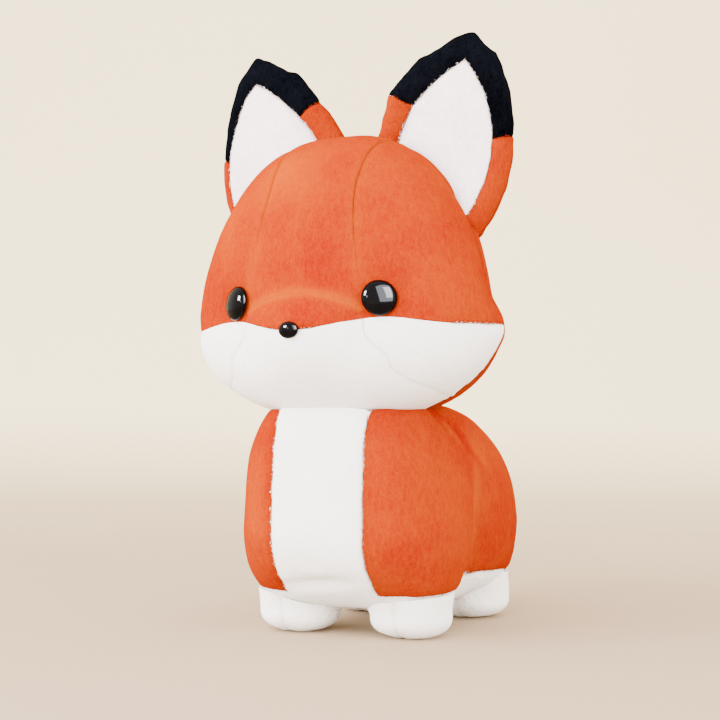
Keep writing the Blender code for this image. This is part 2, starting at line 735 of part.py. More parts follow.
def paw_column(middle, angle):
    sideways = math.sin(math.radians(angle))
    ahead = math.cos(math.radians(angle))
    x_reach = PAW_HALF_WIDTH * sideways
    y_reach = -PAW_HALF_LENGTH * ahead
    top = belly_above(
        middle[0] + PAW_TOP_SHARE * x_reach, middle[1] + PAW_TOP_SHARE * y_reach, middle
    )
    line = [np.array((middle[0], middle[1], 0.0))]
    for z in (0.0, 0.0012, 0.0040, 0.0080, PAW_WIDEST_Z):
        size = paw_radius(z)
        line.append(np.array((middle[0] + x_reach * size, middle[1] + y_reach * size, z)))
    line.append(blend(line[-1], top, 0.5))
    line[-1][:2] = blend(line[-2][:2], top[:2], 0.3)
    line.append(top)
    line.append(belly_above(*blend(np.array(middle), top[:2], 0.5), middle))
    line.append(belly_above(middle[0], middle[1], middle))
    return line


for side, side_name in ((1.0, "left"), (-1.0, "right")):
    for paw_y, end_name in ((FRONT_PAW_Y, "front"), (REAR_PAW_Y, "rear")):
        middle = (side * PAW_X, paw_y)
        columns = [paw_column(middle, 360.0 * step / PAW_COLUMNS) for step in range(PAW_COLUMNS)]
        paw = SewnForm()
        paw.patch(
            [list(row) for row in zip(*columns)],
            lambda row, column: "bowl" if row < 7 else "top",
            closed=True,
        )
        paw.finish()
        paw.add_filling(f"paw_filling_{end_name}_{side_name}")
        paw.add_panel(f"paw_{end_name}_{side_name}", "bowl", "white_plush")


# Tail: a short brush, orange with a white end, sewn to the middle of the rump.

def tail_radius(share):
    if share < 0.45:
        return eased(TAIL_ROOT_RADIUS, TAIL_RADIUS, share / 0.45)
    return TAIL_RADIUS * falling((share - 0.45) / 0.55, 1.9, 1.7)


def behind_rump(x, z):
    """The place at x and z that lies just behind the body."""
    start = Vector((x, BODY_RUMP_Y + TAIL_LENGTH, z))
    hit = body.tree.ray_cast(start, Vector((0.0, -1.0, 0.0)))[0]
    return np.array((x, hit.y + PRESS_GAP, z))


def tail_column(angle):
    """One line of the tail from the middle of its root to its end."""
    line = [behind_rump(0.0, TAIL_Z)]
    for share in (0.0, 0.12, 0.25, 0.38, 0.51, TAIL_TIP_FROM, 0.76, 0.87, 0.95, 1.0):
        radius = tail_radius(share)
        x = radius * math.cos(math.radians(angle))
        z = TAIL_Z + TAIL_RISE * share ** 2 + radius * math.sin(math.radians(angle))
        if share == 0.0:
            line.append(behind_rump(x, z))
        else:
            line.append(np.array((x, BODY_RUMP_Y + TAIL_LENGTH * share, z)))
    return line


columns = [tail_column(360.0 * step / TAIL_COLUMNS) for step in range(TAIL_COLUMNS)]
tail = SewnForm()
tail.patch(
    [list(row) for row in zip(*columns)],
    lambda row, column: "root" if row < 1 else "brush" if row < 6 else "tip",
    closed=True,
)
tail.finish()
tail.add_filling("tail_filling")
tail.add_panel("tail_cover", "brush", "orange_plush")
tail.add_panel("tail_tip", "tip", "white_plush")


# Eyes and nose: domes with a stem, each held by a washer inside the head.

def add_turned(name, profile, place, material, squash=1.0):
    """Turns a profile of (radius, height) about its own axis."""
    rings = []
    for radius, height in profile:
        ring = []
        for step in range(TURNED_SEGMENTS):
            angle = 2.0 * math.pi * (step + 0.5) / TURNED_SEGMENTS
            flat = squash if height > -1e-9 else 1.0
            ring.append(place @ Vector((radius * math.cos(angle), radius * math.sin(angle) * flat, height)))
        rings.append(ring)
    form = SewnForm()
    closed_profile = profile[0][0] > 0.0
    if closed_profile:
        rings.append(rings[0])
    form.patch(rings, lambda row, column: "turned", closed=True)
    return add_solid(name, form.points, form.triangles, material)


def dome_profile(radius, height):
    """A domed head on a straight stem with a pointed end."""
    lip = 0.0006
    profile = []
    for step in range(6):
        angle = 0.5 * math.pi * step / 5.5
        profile.append((radius * math.sin(angle), lip + (height - lip) * math.cos(angle)))
    profile.append((radius, lip))
    profile.append((radius - 0.4 * lip, 0.0))
    profile.append((STEM_RADIUS, 0.0))
    profile.append((STEM_RADIUS, -STEM_LENGTH + 0.0020))
    profile.append((0.6 * STEM_RADIUS, -STEM_LENGTH))
    profile.append((0.0, -STEM_LENGTH))
    return profile


def washer_profile(radius):
    """A flat washer with a raised collar round its bore."""
    bore = STEM_RADIUS + WASHER_BORE_CLEARANCE
    return (
        (bore, 0.0),
        (radius, 0.0),
        (radius, -WASHER_THICKNESS),
        (bore + 0.0016, -WASHER_THICKNESS),
        (bore + 0.0010, -2.0 * WASHER_THICKNESS),
        (bore, -2.0 * WASHER_THICKNESS),
    )


def facing(point, normal):
    """A frame at a point, with its third axis along the normal."""
    third = Vector(normal).normalized()
    second = (Vector((0.0, 0.0, 1.0)) - third * third.z).normalized()
    first = second.cross(third)
    frame = Matrix((first, second, third)).transposed().to_4x4()
    frame.translation = Vector(point)
    return frame


def cut_round(target, place, radius, depth):
    """Cuts a round hole from outside the surface down to a depth."""
    top = STEM_LENGTH
    profile = ((0.0, top), (radius, top), (radius, -depth), (0.0, -depth))
    cutter = add_turned("cutter", profile, place, "clear_washer")
    cutter.hide_render = True
    cutter.display_type = "WIRE"
    cut = target.modifiers.new("cut", "BOOLEAN")
    cut.operation = "DIFFERENCE"
    cut.solver = "EXACT"
    cut.object = cutter
    view = bpy.context.evaluated_depsgraph_get()
    mesh = bpy.data.meshes.new_from_object(target.evaluated_get(view))
    target.modifiers.clear()
    target.data = mesh
    bpy.data.objects.remove(cutter, do_unlink=True)


def face_levels(place, radius):
    """Lowest and highest level of the face under a disc, along the axis of its place."""
    levels = []
    for share in (0.0, 0.25, 0.5, 0.75, 1.0):
        for step in range(TURNED_SEGMENTS):
            angle = 2.0 * math.pi * step / TURNED_SEGMENTS
            spot = Vector((radius * share * math.cos(angle), radius * share * math.sin(angle), STEM_LENGTH))
            hit = head.tree.ray_cast(place @ spot, -place.col[2].to_3d())[0]
            levels.append((place.inverted() @ hit).z)
    return min(levels), max(levels)


def fit_dome(name, place, radius, height, washer_radius, panels, squash=1.0):
    """Seats a dome on the face, cuts its holes and locks it with a washer."""
    seat = place @ Matrix.Translation((0.0, 0.0, face_levels(place, radius)[1] + DOME_SEAT))
    add_turned(name, dome_profile(radius, height), seat, "black_plastic", squash)
    lowest = face_levels(place, washer_radius)[0]
    lock = place @ Matrix.Translation((0.0, 0.0, lowest - 1.05 * FABRIC - WASHER_SEAT))
    add_turned(name + "_washer", washer_profile(washer_radius), lock, "clear_washer")
    for panel in panels:
        cut_round(head_panels[panel], place, STEM_RADIUS + STEM_CLEARANCE, 3.0 * FABRIC)
    cut_round(head_filling, place, washer_radius + POCKET_CLEARANCE, STEM_LENGTH + POCKET_CLEARANCE)


def eye_place(x, z):
    """The place on the face at x and z, with the way that an eye looks there."""
    start = Vector((x, HEAD_Y - 2.0 * HEAD_FACE_REACH, z))
    point = head.tree.ray_cast(start, Vector((0.0, 1.0, 0.0)))[0]
    outward = math.copysign(math.radians(EYE_OUTWARD), x)
    upward = math.radians(EYE_UPWARD)
    flat = math.cos(upward)
    return facing(point, (flat * math.sin(outward), -flat * math.cos(outward), math.sin(upward)))


for side, name in ((1.0, "left"), (-1.0, "right")):
    fit_dome(
        "eye_" + name, eye_place(side * EYE_X, EYE_Z), EYE_RADIUS, EYE_DOME,
        WASHER_RADIUS, ["crown_" + name],
    )
fit_dome(
    "nose", facing(head_point(0.0, 0.0), (0.0, -1.0, 0.0)), NOSE_RADIUS, NOSE_DOME,
    NOSE_WASHER_RADIUS, ["snout_top", "chin"], NOSE_SQUASH,
)


# The origin is the middle of the footprint, so the whole fox is moved along Y.
low = min(vertex.co.y for item in bpy.data.objects for vertex in item.data.vertices)
high = max(vertex.co.y for item in bpy.data.objects for vertex in item.data.vertices)
for item in bpy.data.objects:
    item.data.transform(Matrix.Translation((0.0, -0.5 * (low + high), 0.0)))
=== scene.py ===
# A standing plush fox, dressed piece by piece in the order in which it is sewn:
# head, ears, body, paws and tail, then the plastic eyes and nose.
# Metres, +Z up. The fox looks along -Y.

import math

import bmesh
import bpy
import numpy as np
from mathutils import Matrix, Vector, noise
from mathutils.bvhtree import BVHTree
from mathutils.kdtree import KDTree


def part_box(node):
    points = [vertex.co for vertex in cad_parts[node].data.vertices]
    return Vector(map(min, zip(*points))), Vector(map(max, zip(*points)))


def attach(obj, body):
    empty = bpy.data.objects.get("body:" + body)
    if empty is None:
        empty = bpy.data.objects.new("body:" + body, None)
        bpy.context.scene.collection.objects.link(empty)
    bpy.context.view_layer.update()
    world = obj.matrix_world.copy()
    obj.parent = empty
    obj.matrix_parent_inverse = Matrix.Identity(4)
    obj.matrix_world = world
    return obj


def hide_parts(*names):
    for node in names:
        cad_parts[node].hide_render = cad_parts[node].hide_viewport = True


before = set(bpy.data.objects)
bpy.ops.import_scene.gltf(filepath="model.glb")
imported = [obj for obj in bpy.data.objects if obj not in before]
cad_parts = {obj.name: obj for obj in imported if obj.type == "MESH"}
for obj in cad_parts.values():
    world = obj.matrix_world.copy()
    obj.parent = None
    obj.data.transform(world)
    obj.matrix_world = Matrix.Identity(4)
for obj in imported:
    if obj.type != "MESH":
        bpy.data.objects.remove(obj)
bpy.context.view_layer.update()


# Orange, white and black plush. The fabric is a knitted polyester backing with a
# short dense pile that catches the light where it is brushed up and looks deeper
# where it lies flat. Over the pile's own tones the covers carry painted light and
# painted shade along given lines, and painted shade in their seams. All the
# covers are cut from these three.

class Shade:
    """A value or colour on its way through a material, with arithmetic on it."""

    nodes = None
    links = None

    def __init__(self, socket):
        self.socket = socket

    @classmethod
    def add(cls, kind, settings=(), inputs=(), output=0):
        """A node of this kind, with its settings, and with values or links in its sockets."""
        node = cls.nodes.new("ShaderNode" + kind)
        for name, value in dict(settings).items():
            setattr(node, name, value)
        for name, value in dict(inputs).items():
            if isinstance(value, Shade):
                cls.links.new(value.socket, node.inputs[name])
            else:
                node.inputs[name].default_value = value
        return cls(node.outputs[output])

    def maths(self, operation, other, reflected=False):
        pair = (other, self) if reflected else (self, other)
        return Shade.add("Math", {"operation": operation}, {0: pair[0], 1: pair[1]})

    def __add__(self, other):
        return self.maths("ADD", other)

    def __radd__(self, other):
        return self.maths("ADD", other, True)

    def __sub__(self, other):
        return self.maths("SUBTRACT", other)

    def __rsub__(self, other):
        return self.maths("SUBTRACT", other, True)

    def __mul__(self, other):
        return self.maths("MULTIPLY", other)

    def __rmul__(self, other):
        return self.maths("MULTIPLY", other, True)

    def between(self, first, second):
        """The colour between two, with this value as the share of the second."""
        return Shade.add("Mix", {"data_type": "RGBA"}, {0: self, 6: first, 7: second}, 2)


def colour(red, green, blue):
    """A colour as it is seen, 0 to 255, turned into light."""
    seen = (red / 255.0, green / 255.0, blue / 255.0)
    light = [v / 12.92 if v <= 0.04045 else ((v + 0.055) / 1.055) ** 2.4 for v in seen]
    return (*light, 1.0)


def new_finish(name, **constants):
    """A material with its constant values, ready for what varies over the surface."""
    finish = bpy.data.materials.new(name)
    finish.use_nodes = True
    Shade.nodes = finish.node_tree.nodes
    Shade.links = finish.node_tree.links
    shader = Shade.nodes["Principled BSDF"]
    for socket, value in constants.items():
        shader.inputs[socket.replace("_", " ")].default_value = value
    return finish, shader


def plush(name, raised, laid, shadow, sheen, sheen_tone):
    """Short-pile fabric: the tone of raised pile, of laid pile, and the painted shade
    deep in a seam.

    The panel's attributes give how much painted shade a seam gets (seam), the
    painted light and painted shade laid over the pile, and where the next fabric's
    pile strays over (fringe, neighbour)."""
    finish, shader = new_finish(
        name,
        Metallic=0.0,
        Specular_IOR_Level=0.0,
        Sheen_Weight=sheen,
        Sheen_Roughness=0.5,
        Sheen_Tint=sheen_tone,
    )
    place = Shade.add("TexCoord", output=3)
    brushed = Shade.add("Mapping", {}, {"Vector": place, "Scale": (1.0, 1.0, 0.45)})

    def noise_between(scale, low, high, where=place):
        """Noise of that scale, spread so that low turns 0 and high turns 1."""
        raw = Shade.add("TexNoise", {}, {"Vector": where, "Scale": scale, "Detail": 3.0})
        return Shade.add("MapRange", {}, {0: raw, 1: low, 2: high})

    patches = noise_between(26.0, 0.40, 0.62)
    tufts = noise_between(430.0, 0.30, 0.70, brushed)
    fibres = noise_between(1300.0, 0.32, 0.68, brushed)
    fold = Shade.add("Attribute", {"attribute_name": "seam"}, {}, 2)
    shading_paint = Shade.add("Attribute", {"attribute_name": "shading_paint"}, {}, 2)
    # Random pile tones, plus the painted light and painted shade from the panel.
    pile_and_painted_shading = 0.28 * patches + 0.26 * tufts + 0.34 * fibres + shading_paint - 0.09
    tone = Shade.add("MapRange", {}, {0: pile_and_painted_shading}).between(laid, raised)
    # Painted shade: darker towards the shadow tone at the seams.
    deep = (fold * 0.5).between(tone, shadow)
    near = Shade.add("Attribute", {"attribute_name": "fringe"}, {}, 2)
    stray = Shade.add("TexNoise", {}, {"Vector": place, "Scale": 1100.0, "Detail": 2.0})
    frayed = Shade.add("MapRange", {}, {0: near * 0.51 - stray, 1: 0.0, 2: 0.12})
    across = Shade.add("Attribute", {"attribute_name": "neighbour"}, {}, 0)
    Shade.links.new(frayed.between(deep, across).socket, shader.inputs["Base Color"])
    Shade.links.new((0.80 + 0.18 * tufts).socket, shader.inputs["Roughness"])
    bump = Shade.add("Bump", {}, {
        "Strength": 0.55, "Distance": 0.0011, "Height": 0.6 * tufts + 0.4 * fibres,
    })
    Shade.links.new(bump.socket, shader.inputs["Normal"])
    return finish


FABRIC_THICKNESS = 0.0016

orange_plush = plush(
    "orange_plush",
    raised=colour(155, 61, 0),
    laid=colour(131, 20, 0),
    shadow=colour(98, 14, 0),
    sheen=0.04,
    sheen_tone=colour(255, 130, 20),
)
white_plush = plush(
    "white_plush",
    raised=colour(254, 254, 255),
    laid=colour(246, 245, 246),
    shadow=colour(208, 200, 194),
    sheen=0.08,
    sheen_tone=colour(255, 255, 255),
)
# The lining is the white plush with a pinkish laid tone and shadow, a painted tint of light bounced off
# the orange, which shows most where painted shade lies at the ear's base.
lining_plush = plush(
    "white_plush",
    raised=colour(254, 254, 255),
    laid=colour(238, 220, 230),
    shadow=colour(205, 180, 190),
    sheen=0.08,
    sheen_tone=colour(255, 255, 255),
)
black_plush = plush(
    "black_plush",
    raised=colour(13, 15, 22),
    laid=colour(1, 1, 2),
    shadow=colour(1, 1, 1),
    sheen=0.010,
    sheen_tone=colour(120, 130, 170),
)


# Head cover. Nine panels of plush are sewn right sides together, turned and packed
# hard with fibre. The pattern has a crown gusset between two crown panels, a small
# snout top, a chin, two cheeks and two backs that meet in the middle of the back.

HEAD_HALF_WIDTH = 0.0893
HEAD_Z = 0.1635
FRONT_PAW_Y = -0.0095
MOVED = 0.5 * (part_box("paw_front_left")[0].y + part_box("paw_front_left")[1].y) - FRONT_PAW_Y
CROWN_SEAM = (0.0345, 0.0255, 0.0290)
CHIN_SEAM = (0.0600, 0.0460)
EYE_AT = (0.0410, 0.1798)
SEWN_SHUT = ("base", "neck", "root", "top")


def falling(share, shape, sharpness):
    """1 in the middle and 0 at a share of 1, along a superellipse."""
    return np.maximum(0.0, 1.0 - np.abs(share) ** shape) ** (1.0 / sharpness)


def eased(share):
    """A share from 0 to 1 with a soft start and a soft end."""
    share = np.clip(share, 0.0, 1.0)
    return share * share * (3.0 - 2.0 * share)


def eased_through(stops, value):
    """Follows (place, size) stops with a smooth step between each two."""
    size = np.full(np.shape(value), float(stops[0][1]))
    for (place_a, size_a), (place_b, size_b) in zip(stops, stops[1:]):
        size = size + (size_b - size_a) * eased((value - place_a) / (place_b - place_a))
    return size


def head_reaches(x):
    """Reaches of the head's outline at x: forward, back, up and down."""
    across = np.minimum(np.abs(x) / HEAD_HALF_WIDTH, 1.0)
    return (
        0.0642 * falling(across, 2.02, 2.14),
        0.0568 * falling(across, 2.04, 1.08),
        0.1108 * falling(across, 2.66, 1.22),
        0.0452 * falling(across, 2.45, 1.80),
    )


def cheek_seam(x):
    """Where the seam under the nose and over the cheeks runs, in degrees of turn."""
    return 3.2 * np.sin(np.pi * np.minimum(np.abs(x) / HEAD_HALF_WIDTH, 1.0)) ** 2


def snout_arc(x):
    """Where the arc over the snout runs, which drops towards both its ends."""
    return 10.0 - 4.5 * np.minimum(np.abs(x) / CROWN_SEAM[0], 1.0) ** 2


def head_point(x, turn):
    """The head's surface at x, turned from the seam under the nose over the crown."""
    turn = np.mod(turn, 360.0)
    face, back, crown, chin = head_reaches(x)
    along, up = np.cos(np.radians(turn)), np.sin(np.radians(turn))
    size = (np.abs(along) ** 2.5 + np.abs(up) ** 2.5) ** -0.4
    y = -0.0133 - along * size * np.where(along > 0.0, face, back)
    z = HEAD_Z + 0.0046 * np.minimum(np.abs(x) / HEAD_HALF_WIDTH, 1.0) ** 2
    z = z + up * size * np.where(up > 0.0, crown, chin)
    seam = cheek_seam(x)
    wide = np.maximum(0.0, 1.0 - (x / 0.0330) ** 2) ** 1.2
    above = np.cos(0.5 * np.pi * np.clip((turn - seam) / (snout_arc(x) - seam), 0.0, 1.0))
    below = np.cos(0.5 * np.pi * np.clip(np.mod(360.0 + seam - turn, 360.0) / 55.0, 0.0, 1.0)) ** 2
    swell = 0.0105 * wide * np.where((turn >= seam - 1e-6) & (turn < 180.0), above, below)
    away = np.hypot(np.abs(x) - EYE_AT[0] - 0.0032, z - EYE_AT[1])
    dimple = 0.0058 * np.exp(-(away / 0.0120) ** 2)
    y = np.where(along > 0.0, y + dimple - swell, y)
    temple = 0.0045 * eased((z - 0.172) / 0.014) * (1.0 - eased((z - 0.192) / 0.060))
    cheek = 0.0016 * np.exp(-((z - 0.1655) / 0.009) ** 2)
    beside = eased((y + 0.046) / 0.034) * np.minimum(np.abs(x) / HEAD_HALF_WIDTH, 1.0) ** 4
    x = x + np.sign(x) * (cheek - temple) * beside
    return np.stack([x, y + MOVED, z], axis=-1)


def head_turn(row, x):
    """Rows 0 to 2 are the snout, to 9 the crown, to 21 the back, to 27 the chin."""
    low, arc = cheek_seam(x), snout_arc(x)
    if row <= 2:
        return low + (arc - low) * row / 2.0
    if row <= 9:
        return arc + (90.0 - arc) * (row - 2.0) / 7.0
    if row <= 21:
        return 90.0 + 180.0 * (row - 9.0) / 12.0 + 0.0 * x
    return 270.0 + (90.0 + low) * (row - 21.0) / 6.0


def head_x(columns, turn):
    """Columns -3 to 3 are the middle panels, and those to -10 and 10 the sides."""
    stops = (
        (0.0, CROWN_SEAM[0]), (42.0, CROWN_SEAM[1]), (90.0, CROWN_SEAM[2]),
        (180.0, CROWN_SEAM[0]), (270.0, CHIN_SEAM[0]), (300.0, CHIN_SEAM[0]),
        (335.0, CHIN_SEAM[1]), (360.0, CROWN_SEAM[0]),
    )
    seam = eased_through(stops, np.minimum(turn, 360.0))
    side = np.sin(0.5 * np.pi * np.clip((np.abs(columns) - 3.0) / 7.0, 0.0, 1.0))
    reach = seam + (HEAD_HALF_WIDTH - seam) * side
    return np.where(np.abs(columns) <= 3.0, seam * columns / 3.0, np.sign(columns) * reach)


def crowded(stops, counts):
    """Places from stop to stop, closer together near each one, where the seams are."""
    places = [float(stops[0])]
    for low, high, count in zip(stops, stops[1:], counts):
        share = np.arange(1, count + 1) / count
        share = 0.5 * share + 0.5 * (0.5 - 0.5 * np.cos(np.pi * share))
        places += list(low + (high - low) * share)
    return np.array(places)


def plain_seam(z):
    """How deep a seam is drawn in at a height, and how much painted highlight it gets beside it."""
    return 1.0, 0.0


class SewnCover:
    """The outside of a stuffed piece, from which its panels are cut along the seams."""

    def __init__(self):
        self.form = bmesh.new()
        self.names = []

    def patch(self, rows, label_of, closed=False):
        """Adds a grid of points; label_of gives the panel of the cell at (i, j)."""
        grid = [[self.form.verts.new(point) for point in row] for row in rows]
        width = len(grid[0])
        for i in range(len(grid) - 1):
            for j in range(width if closed else width - 1):
                k = (j + 1) % width
                face = self.form.faces.new((grid[i][j], grid[i][k], grid[i + 1][k], grid[i + 1][j]))
                label = label_of(i, j)
                if label not in self.names:
                    self.names.append(label)
                face.material_index = self.names.index(label)

    def sew(self, lumps=0.0007, groove=0.0008, pucker=0.0004, folds=(), painted_shading=(),
            seams=None, round_above=9.0):
        """Draws the seams in, and gives the cover its fullness, puckers and lumps.

        seams tells for two panels, as plain_seam does, what the seam between them
        does: how deep it is drawn in, which also sets its painted shade, and how much
        painted highlight it gets beside it. Folds press the cover in, the given lines
        lay painted light (above 0) or painted shade (below 0), and what is higher than
        round_above is rounded off."""
        form = self.form
        seams = seams or {}
        bmesh.ops.remove_doubles(form, verts=form.verts, dist=3e-6)
        bmesh.ops.recalc_face_normals(form, faces=form.faces)
        for _ in range(48):
            near_tip = [corner for corner in form.verts if corner.co.z > round_above]
            bmesh.ops.smooth_vert(
                form, verts=near_tip, factor=0.5, use_axis_x=True, use_axis_y=True, use_axis_z=True
            )
        form.normal_update()
        form.verts.index_update()
        points = np.array([corner.co for corner in form.verts])
        normals = np.array([corner.normal for corner in form.verts])
        self.quads = [tuple(corner.index for corner in face.verts) for face in form.faces]
        self.labels = [self.names[face.material_index] for face in form.faces]
        stitches, strengths, highlight_by_seam, beside = KDTree(2 * len(form.edges)), [], [], []
        openings = KDTree(2 * len(form.edges))
        for edge in form.edges:
            sides = {self.names[face.material_index] for face in edge.link_faces}
            if len(sides) > 1:
                a, b = (corner.co for corner in edge.verts)
                hidden = sides & set(SEWN_SHUT)
                for point in (a, 0.5 * (a + b)):
                    stitches.insert(point, len(beside))
                    if hidden:
                        openings.insert(point, len(beside))
                    depth, seam_highlight = seams.get(frozenset(sides), plain_seam)(point.z)
                    strengths.append(0.0 if hidden else float(depth))
                    highlight_by_seam.append(0.0 if hidden else float(seam_highlight))
                    beside.append(sides)
        form.free()
        stitches.balance()
        openings.balance()
        found = [stitches.find(point)[1:] for point in points]
        drawn = np.array([strengths[number] for number, _ in found])
        away = np.array([distance for _, distance in found])
        self.beside = [beside[number] for number, _ in found]
        self.away = away
        to_opening = [openings.find(point)[2] for point in points]
        self.to_opening = np.array([1.0 if distance is None else distance for distance in to_opening])
        broad, middle, fine = (
            np.array([noise.noise(Vector(point) * scale) for point in points])
            for scale in (24.0, 62.0, 190.0)
        )
        noise.seed_set(7)
        sway = np.array([noise.noise_vector(Vector(point) * 130.0) for point in points])
        relief = 0.0008 - 0.0006 * drawn * np.exp(-(away / 0.016) ** 2) + lumps * (broad + 0.5 * middle)
        relief -= groove * drawn * (np.exp(-(away / 0.0012) ** 2) + 0.35 * np.exp(-(away / 0.0045) ** 2))
        relief += pucker * drawn * fine * np.exp(-away / 0.010)
        for ends, depth, width in folds:
            relief -= depth * along_fold(points, ends, width)
        # Painted highlight beside the seams, then painted light and painted shade along the given lines.
        self.painted_shading = np.array([highlight_by_seam[number] for number, _ in found]) * np.exp(-(away / 0.0032) ** 2)
        for ends, amount, width in painted_shading:
            self.painted_shading += amount * along_fold(points, ends, width)
        along_seam = 0.0005 * sway * (drawn * np.exp(-away / 0.004))[:, None]
        points = points + normals * relief[:, None] + along_seam
        points[:, 2] = np.maximum(points[:, 2], 0.0001)
        self.points, self.normals, self.drawn = points, normals, drawn
        # Painted shade at the seams: how much of the shadow tone each point gets.
        shaded = 0.8 * np.exp(-(away / 0.0010) ** 2) + 0.2 * np.exp(-(away / 0.004) ** 2)
        self.seam = drawn * np.minimum(shaded, 1.0)
        self.tree = BVHTree.FromPolygons([tuple(point) for point in points], self.quads)
        return self

    def panel(self, name, label, fabric, *nodes):
        """Cuts one panel, turns its edges in and gives it the fabric's thickness."""
        faces = [quad for quad, other in zip(self.quads, self.labels) if other == label]
        sides = {(a, b) for quad in faces for a, b in zip(quad, quad[1:] + quad[:1])}
        rim = [(a, b) for a, b in sides if (b, a) not in sides]
        rim.sort()
        inward = {}
        for a, b in rim:
            across = np.cross(self.normals[a] + self.normals[b], self.points[b] - self.points[a])
            across /= max(np.linalg.norm(across), 1e-12)
            for corner in (a, b):
                inward[corner] = inward.get(corner, 0.0) + 0.5 * across
        used = sorted({corner for quad in faces for corner in quad})
        order = {corner: place for place, corner in enumerate(used)}
        outer = self.points[used].copy()
        for corner, shift in inward.items():
            outer[order[corner]] += 0.00016 * self.drawn[corner] * shift
        inner = outer - FABRIC_THICKNESS * self.normals[used]
        count = len(used)
        rings = [tuple(order[corner] for corner in quad) for quad in faces]
        rings += [tuple(order[corner] + count for corner in reversed(quad)) for quad in faces]
        rings += [(order[b], order[a], order[a] + count, order[b] + count) for a, b in rim]
        piece = stitched(name, np.vstack([outer, inner]), rings, fabric)
        # The inner side is painted wholly in seam shade, so that slits between panels show painted
        # shade.
        depth = np.concatenate([self.seam[used], np.ones(count)]).astype(np.float32)
        piece.data.attributes.new("seam", "FLOAT", "POINT").data.foreach_set("value", depth)
        fringe, neighbour = np.zeros(2 * count, np.float32), np.zeros((2 * count, 4), np.float32)
        for place, corner in enumerate(used):
            for other in sorted(self.beside[corner] - {label}):
                tone = fabric_of(other)
                if tone is not fabric and other not in SEWN_SHUT:
                    fringe[place] = fringe[place + count] = math.exp(-(self.away[corner] / 0.0016) ** 2)
                neighbour[place] = neighbour[place + count] = pile_tone[tone.name]
        piece.data.attributes.new("fringe", "FLOAT", "POINT").data.foreach_set("value", fringe)
        tones = piece.data.attributes.new("neighbour", "FLOAT_COLOR", "POINT")
        tones.data.foreach_set("color", neighbour.ravel())
        shading_paint = self.painted_shading[used]
        piece.data.attributes.new("shading_paint", "FLOAT", "POINT").data.foreach_set("value", np.tile(shading_paint, 2))
        return fitted(piece, nodes)

    def filling(self, name, *nodes):
        """The packed fibre just inside the covers, and a little deeper at their seams."""
        inside = []
        for point, normal, away in zip(self.points, self.normals, self.away):
            depth = 0.0021 + 0.0030 * math.exp(-(away / 0.0040) ** 2)
            across = self.tree.ray_cast(Vector(point - 0.0003 * normal), Vector(-normal))[3]
            inside.append(point - min(depth, 0.45 * (across or 0.004)) * normal)
        inside = np.array(inside)
        tucked = 0.14 * np.exp(-(self.to_opening / 0.0060) ** 2)
        inside += tucked[:, None] * (self.points.mean(axis=0) - inside)
        return fitted(stitched(name, inside, self.quads, fibre_filling), nodes)


pile_tone = {
    orange_plush.name: colour(138, 44, 0),
    white_plush.name: colour(240, 222, 214),
    lining_plush.name: colour(232, 218, 216),
    black_plush.name: colour(8, 9, 13),
}


def fabric_of(label):
    """The plush that a panel is cut from."""
    if label == "lining":
        return lining_plush
    if label in ("belly", "tip") or label.startswith(("chin", "cheek", "bowl")):
        return white_plush
    return black_plush if label in ("rim_tip", "back_tip") else orange_plush


def along_fold(points, ends, width):
    """1 on a fold's line from end to end and 0 away from it, fading out at both ends."""
    start, end = (np.array(point) + (0.0, MOVED, 0.0) for point in ends)
    share = np.clip((points - start) @ (end - start) / ((end - start) @ (end - start)), 0.0, 1.0)
    away = np.linalg.norm(points - start - share[:, None] * (end - start), axis=1)
    return np.exp(-(away / width) ** 2) * (0.35 + 0.65 * np.sin(np.pi * share))


def stitched(name, points, rings, finish):
    """A smooth-shaded piece whose turned edges stay crisp."""
    mesh = bpy.data.meshes.new(name)
    mesh.from_pydata([tuple(point) for point in points], [], rings)
    mesh.materials.append(finish)
    mesh.shade_smooth()
    mesh.set_sharp_from_angle(angle=math.radians(58.0))
    piece = bpy.data.objects.new(name, mesh)
    bpy.context.scene.collection.objects.link(piece)
    return piece


def fitted(piece, nodes):
    """Hides the solids that a stuffed piece stands for, and hangs the piece under the root body."""
    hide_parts(*nodes)
    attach(piece, "root")
    return piece


fibre_filling, loft = new_finish("fibre_filling", Base_Color=colour(240, 240, 238), Roughness=0.95)
tangle = Shade.add("TexNoise", {}, {"Vector": Shade.add("TexCoord", output=3), "Scale": 700.0})
Shade.links.new((0.85 + 0.15 * tangle).socket, loft.inputs["Roughness"])
fluff = Shade.add("Bump", {}, {"Strength": 0.5, "Distance": 0.002, "Height": tangle})
Shade.links.new(fluff.socket, loft.inputs["Normal"])

head_rows = crowded((0, 2, 9, 21, 27), (12, 52, 64, 46))
head_columns = crowded((-10, -3, 0, 3, 10), (34, 16, 16, 34))


def head_row(row):
    """The head's points along one row; each point's turn follows from its own x."""
    turn = head_turn(row, np.full(head_columns.shape, CROWN_SEAM[0]))
    x = head_x(head_columns, turn)
    x = head_x(head_columns, head_turn(row, x))
    return head_point(x, head_turn(row, x))


def head_label(i, j):
    """The panel that a cell of the head's grid belongs to."""
    row, column = head_rows[i] + 1e-6, 0.5 * (head_columns[j] + head_columns[j + 1])
    side = "left" if column > 0.0 else "right"
    middle = abs(column) < 3.0
    if row < 2 and middle:
        return "snout_top"
    if row < 9:
        return "crown_gusset" if middle else "crown_" + side
    if row < 21:
        return "head_back_" + side
    return "chin_panel" if middle else "cheek_" + side


head = SewnCover()
head.patch([head_row(row) for row in head_rows], head_label)

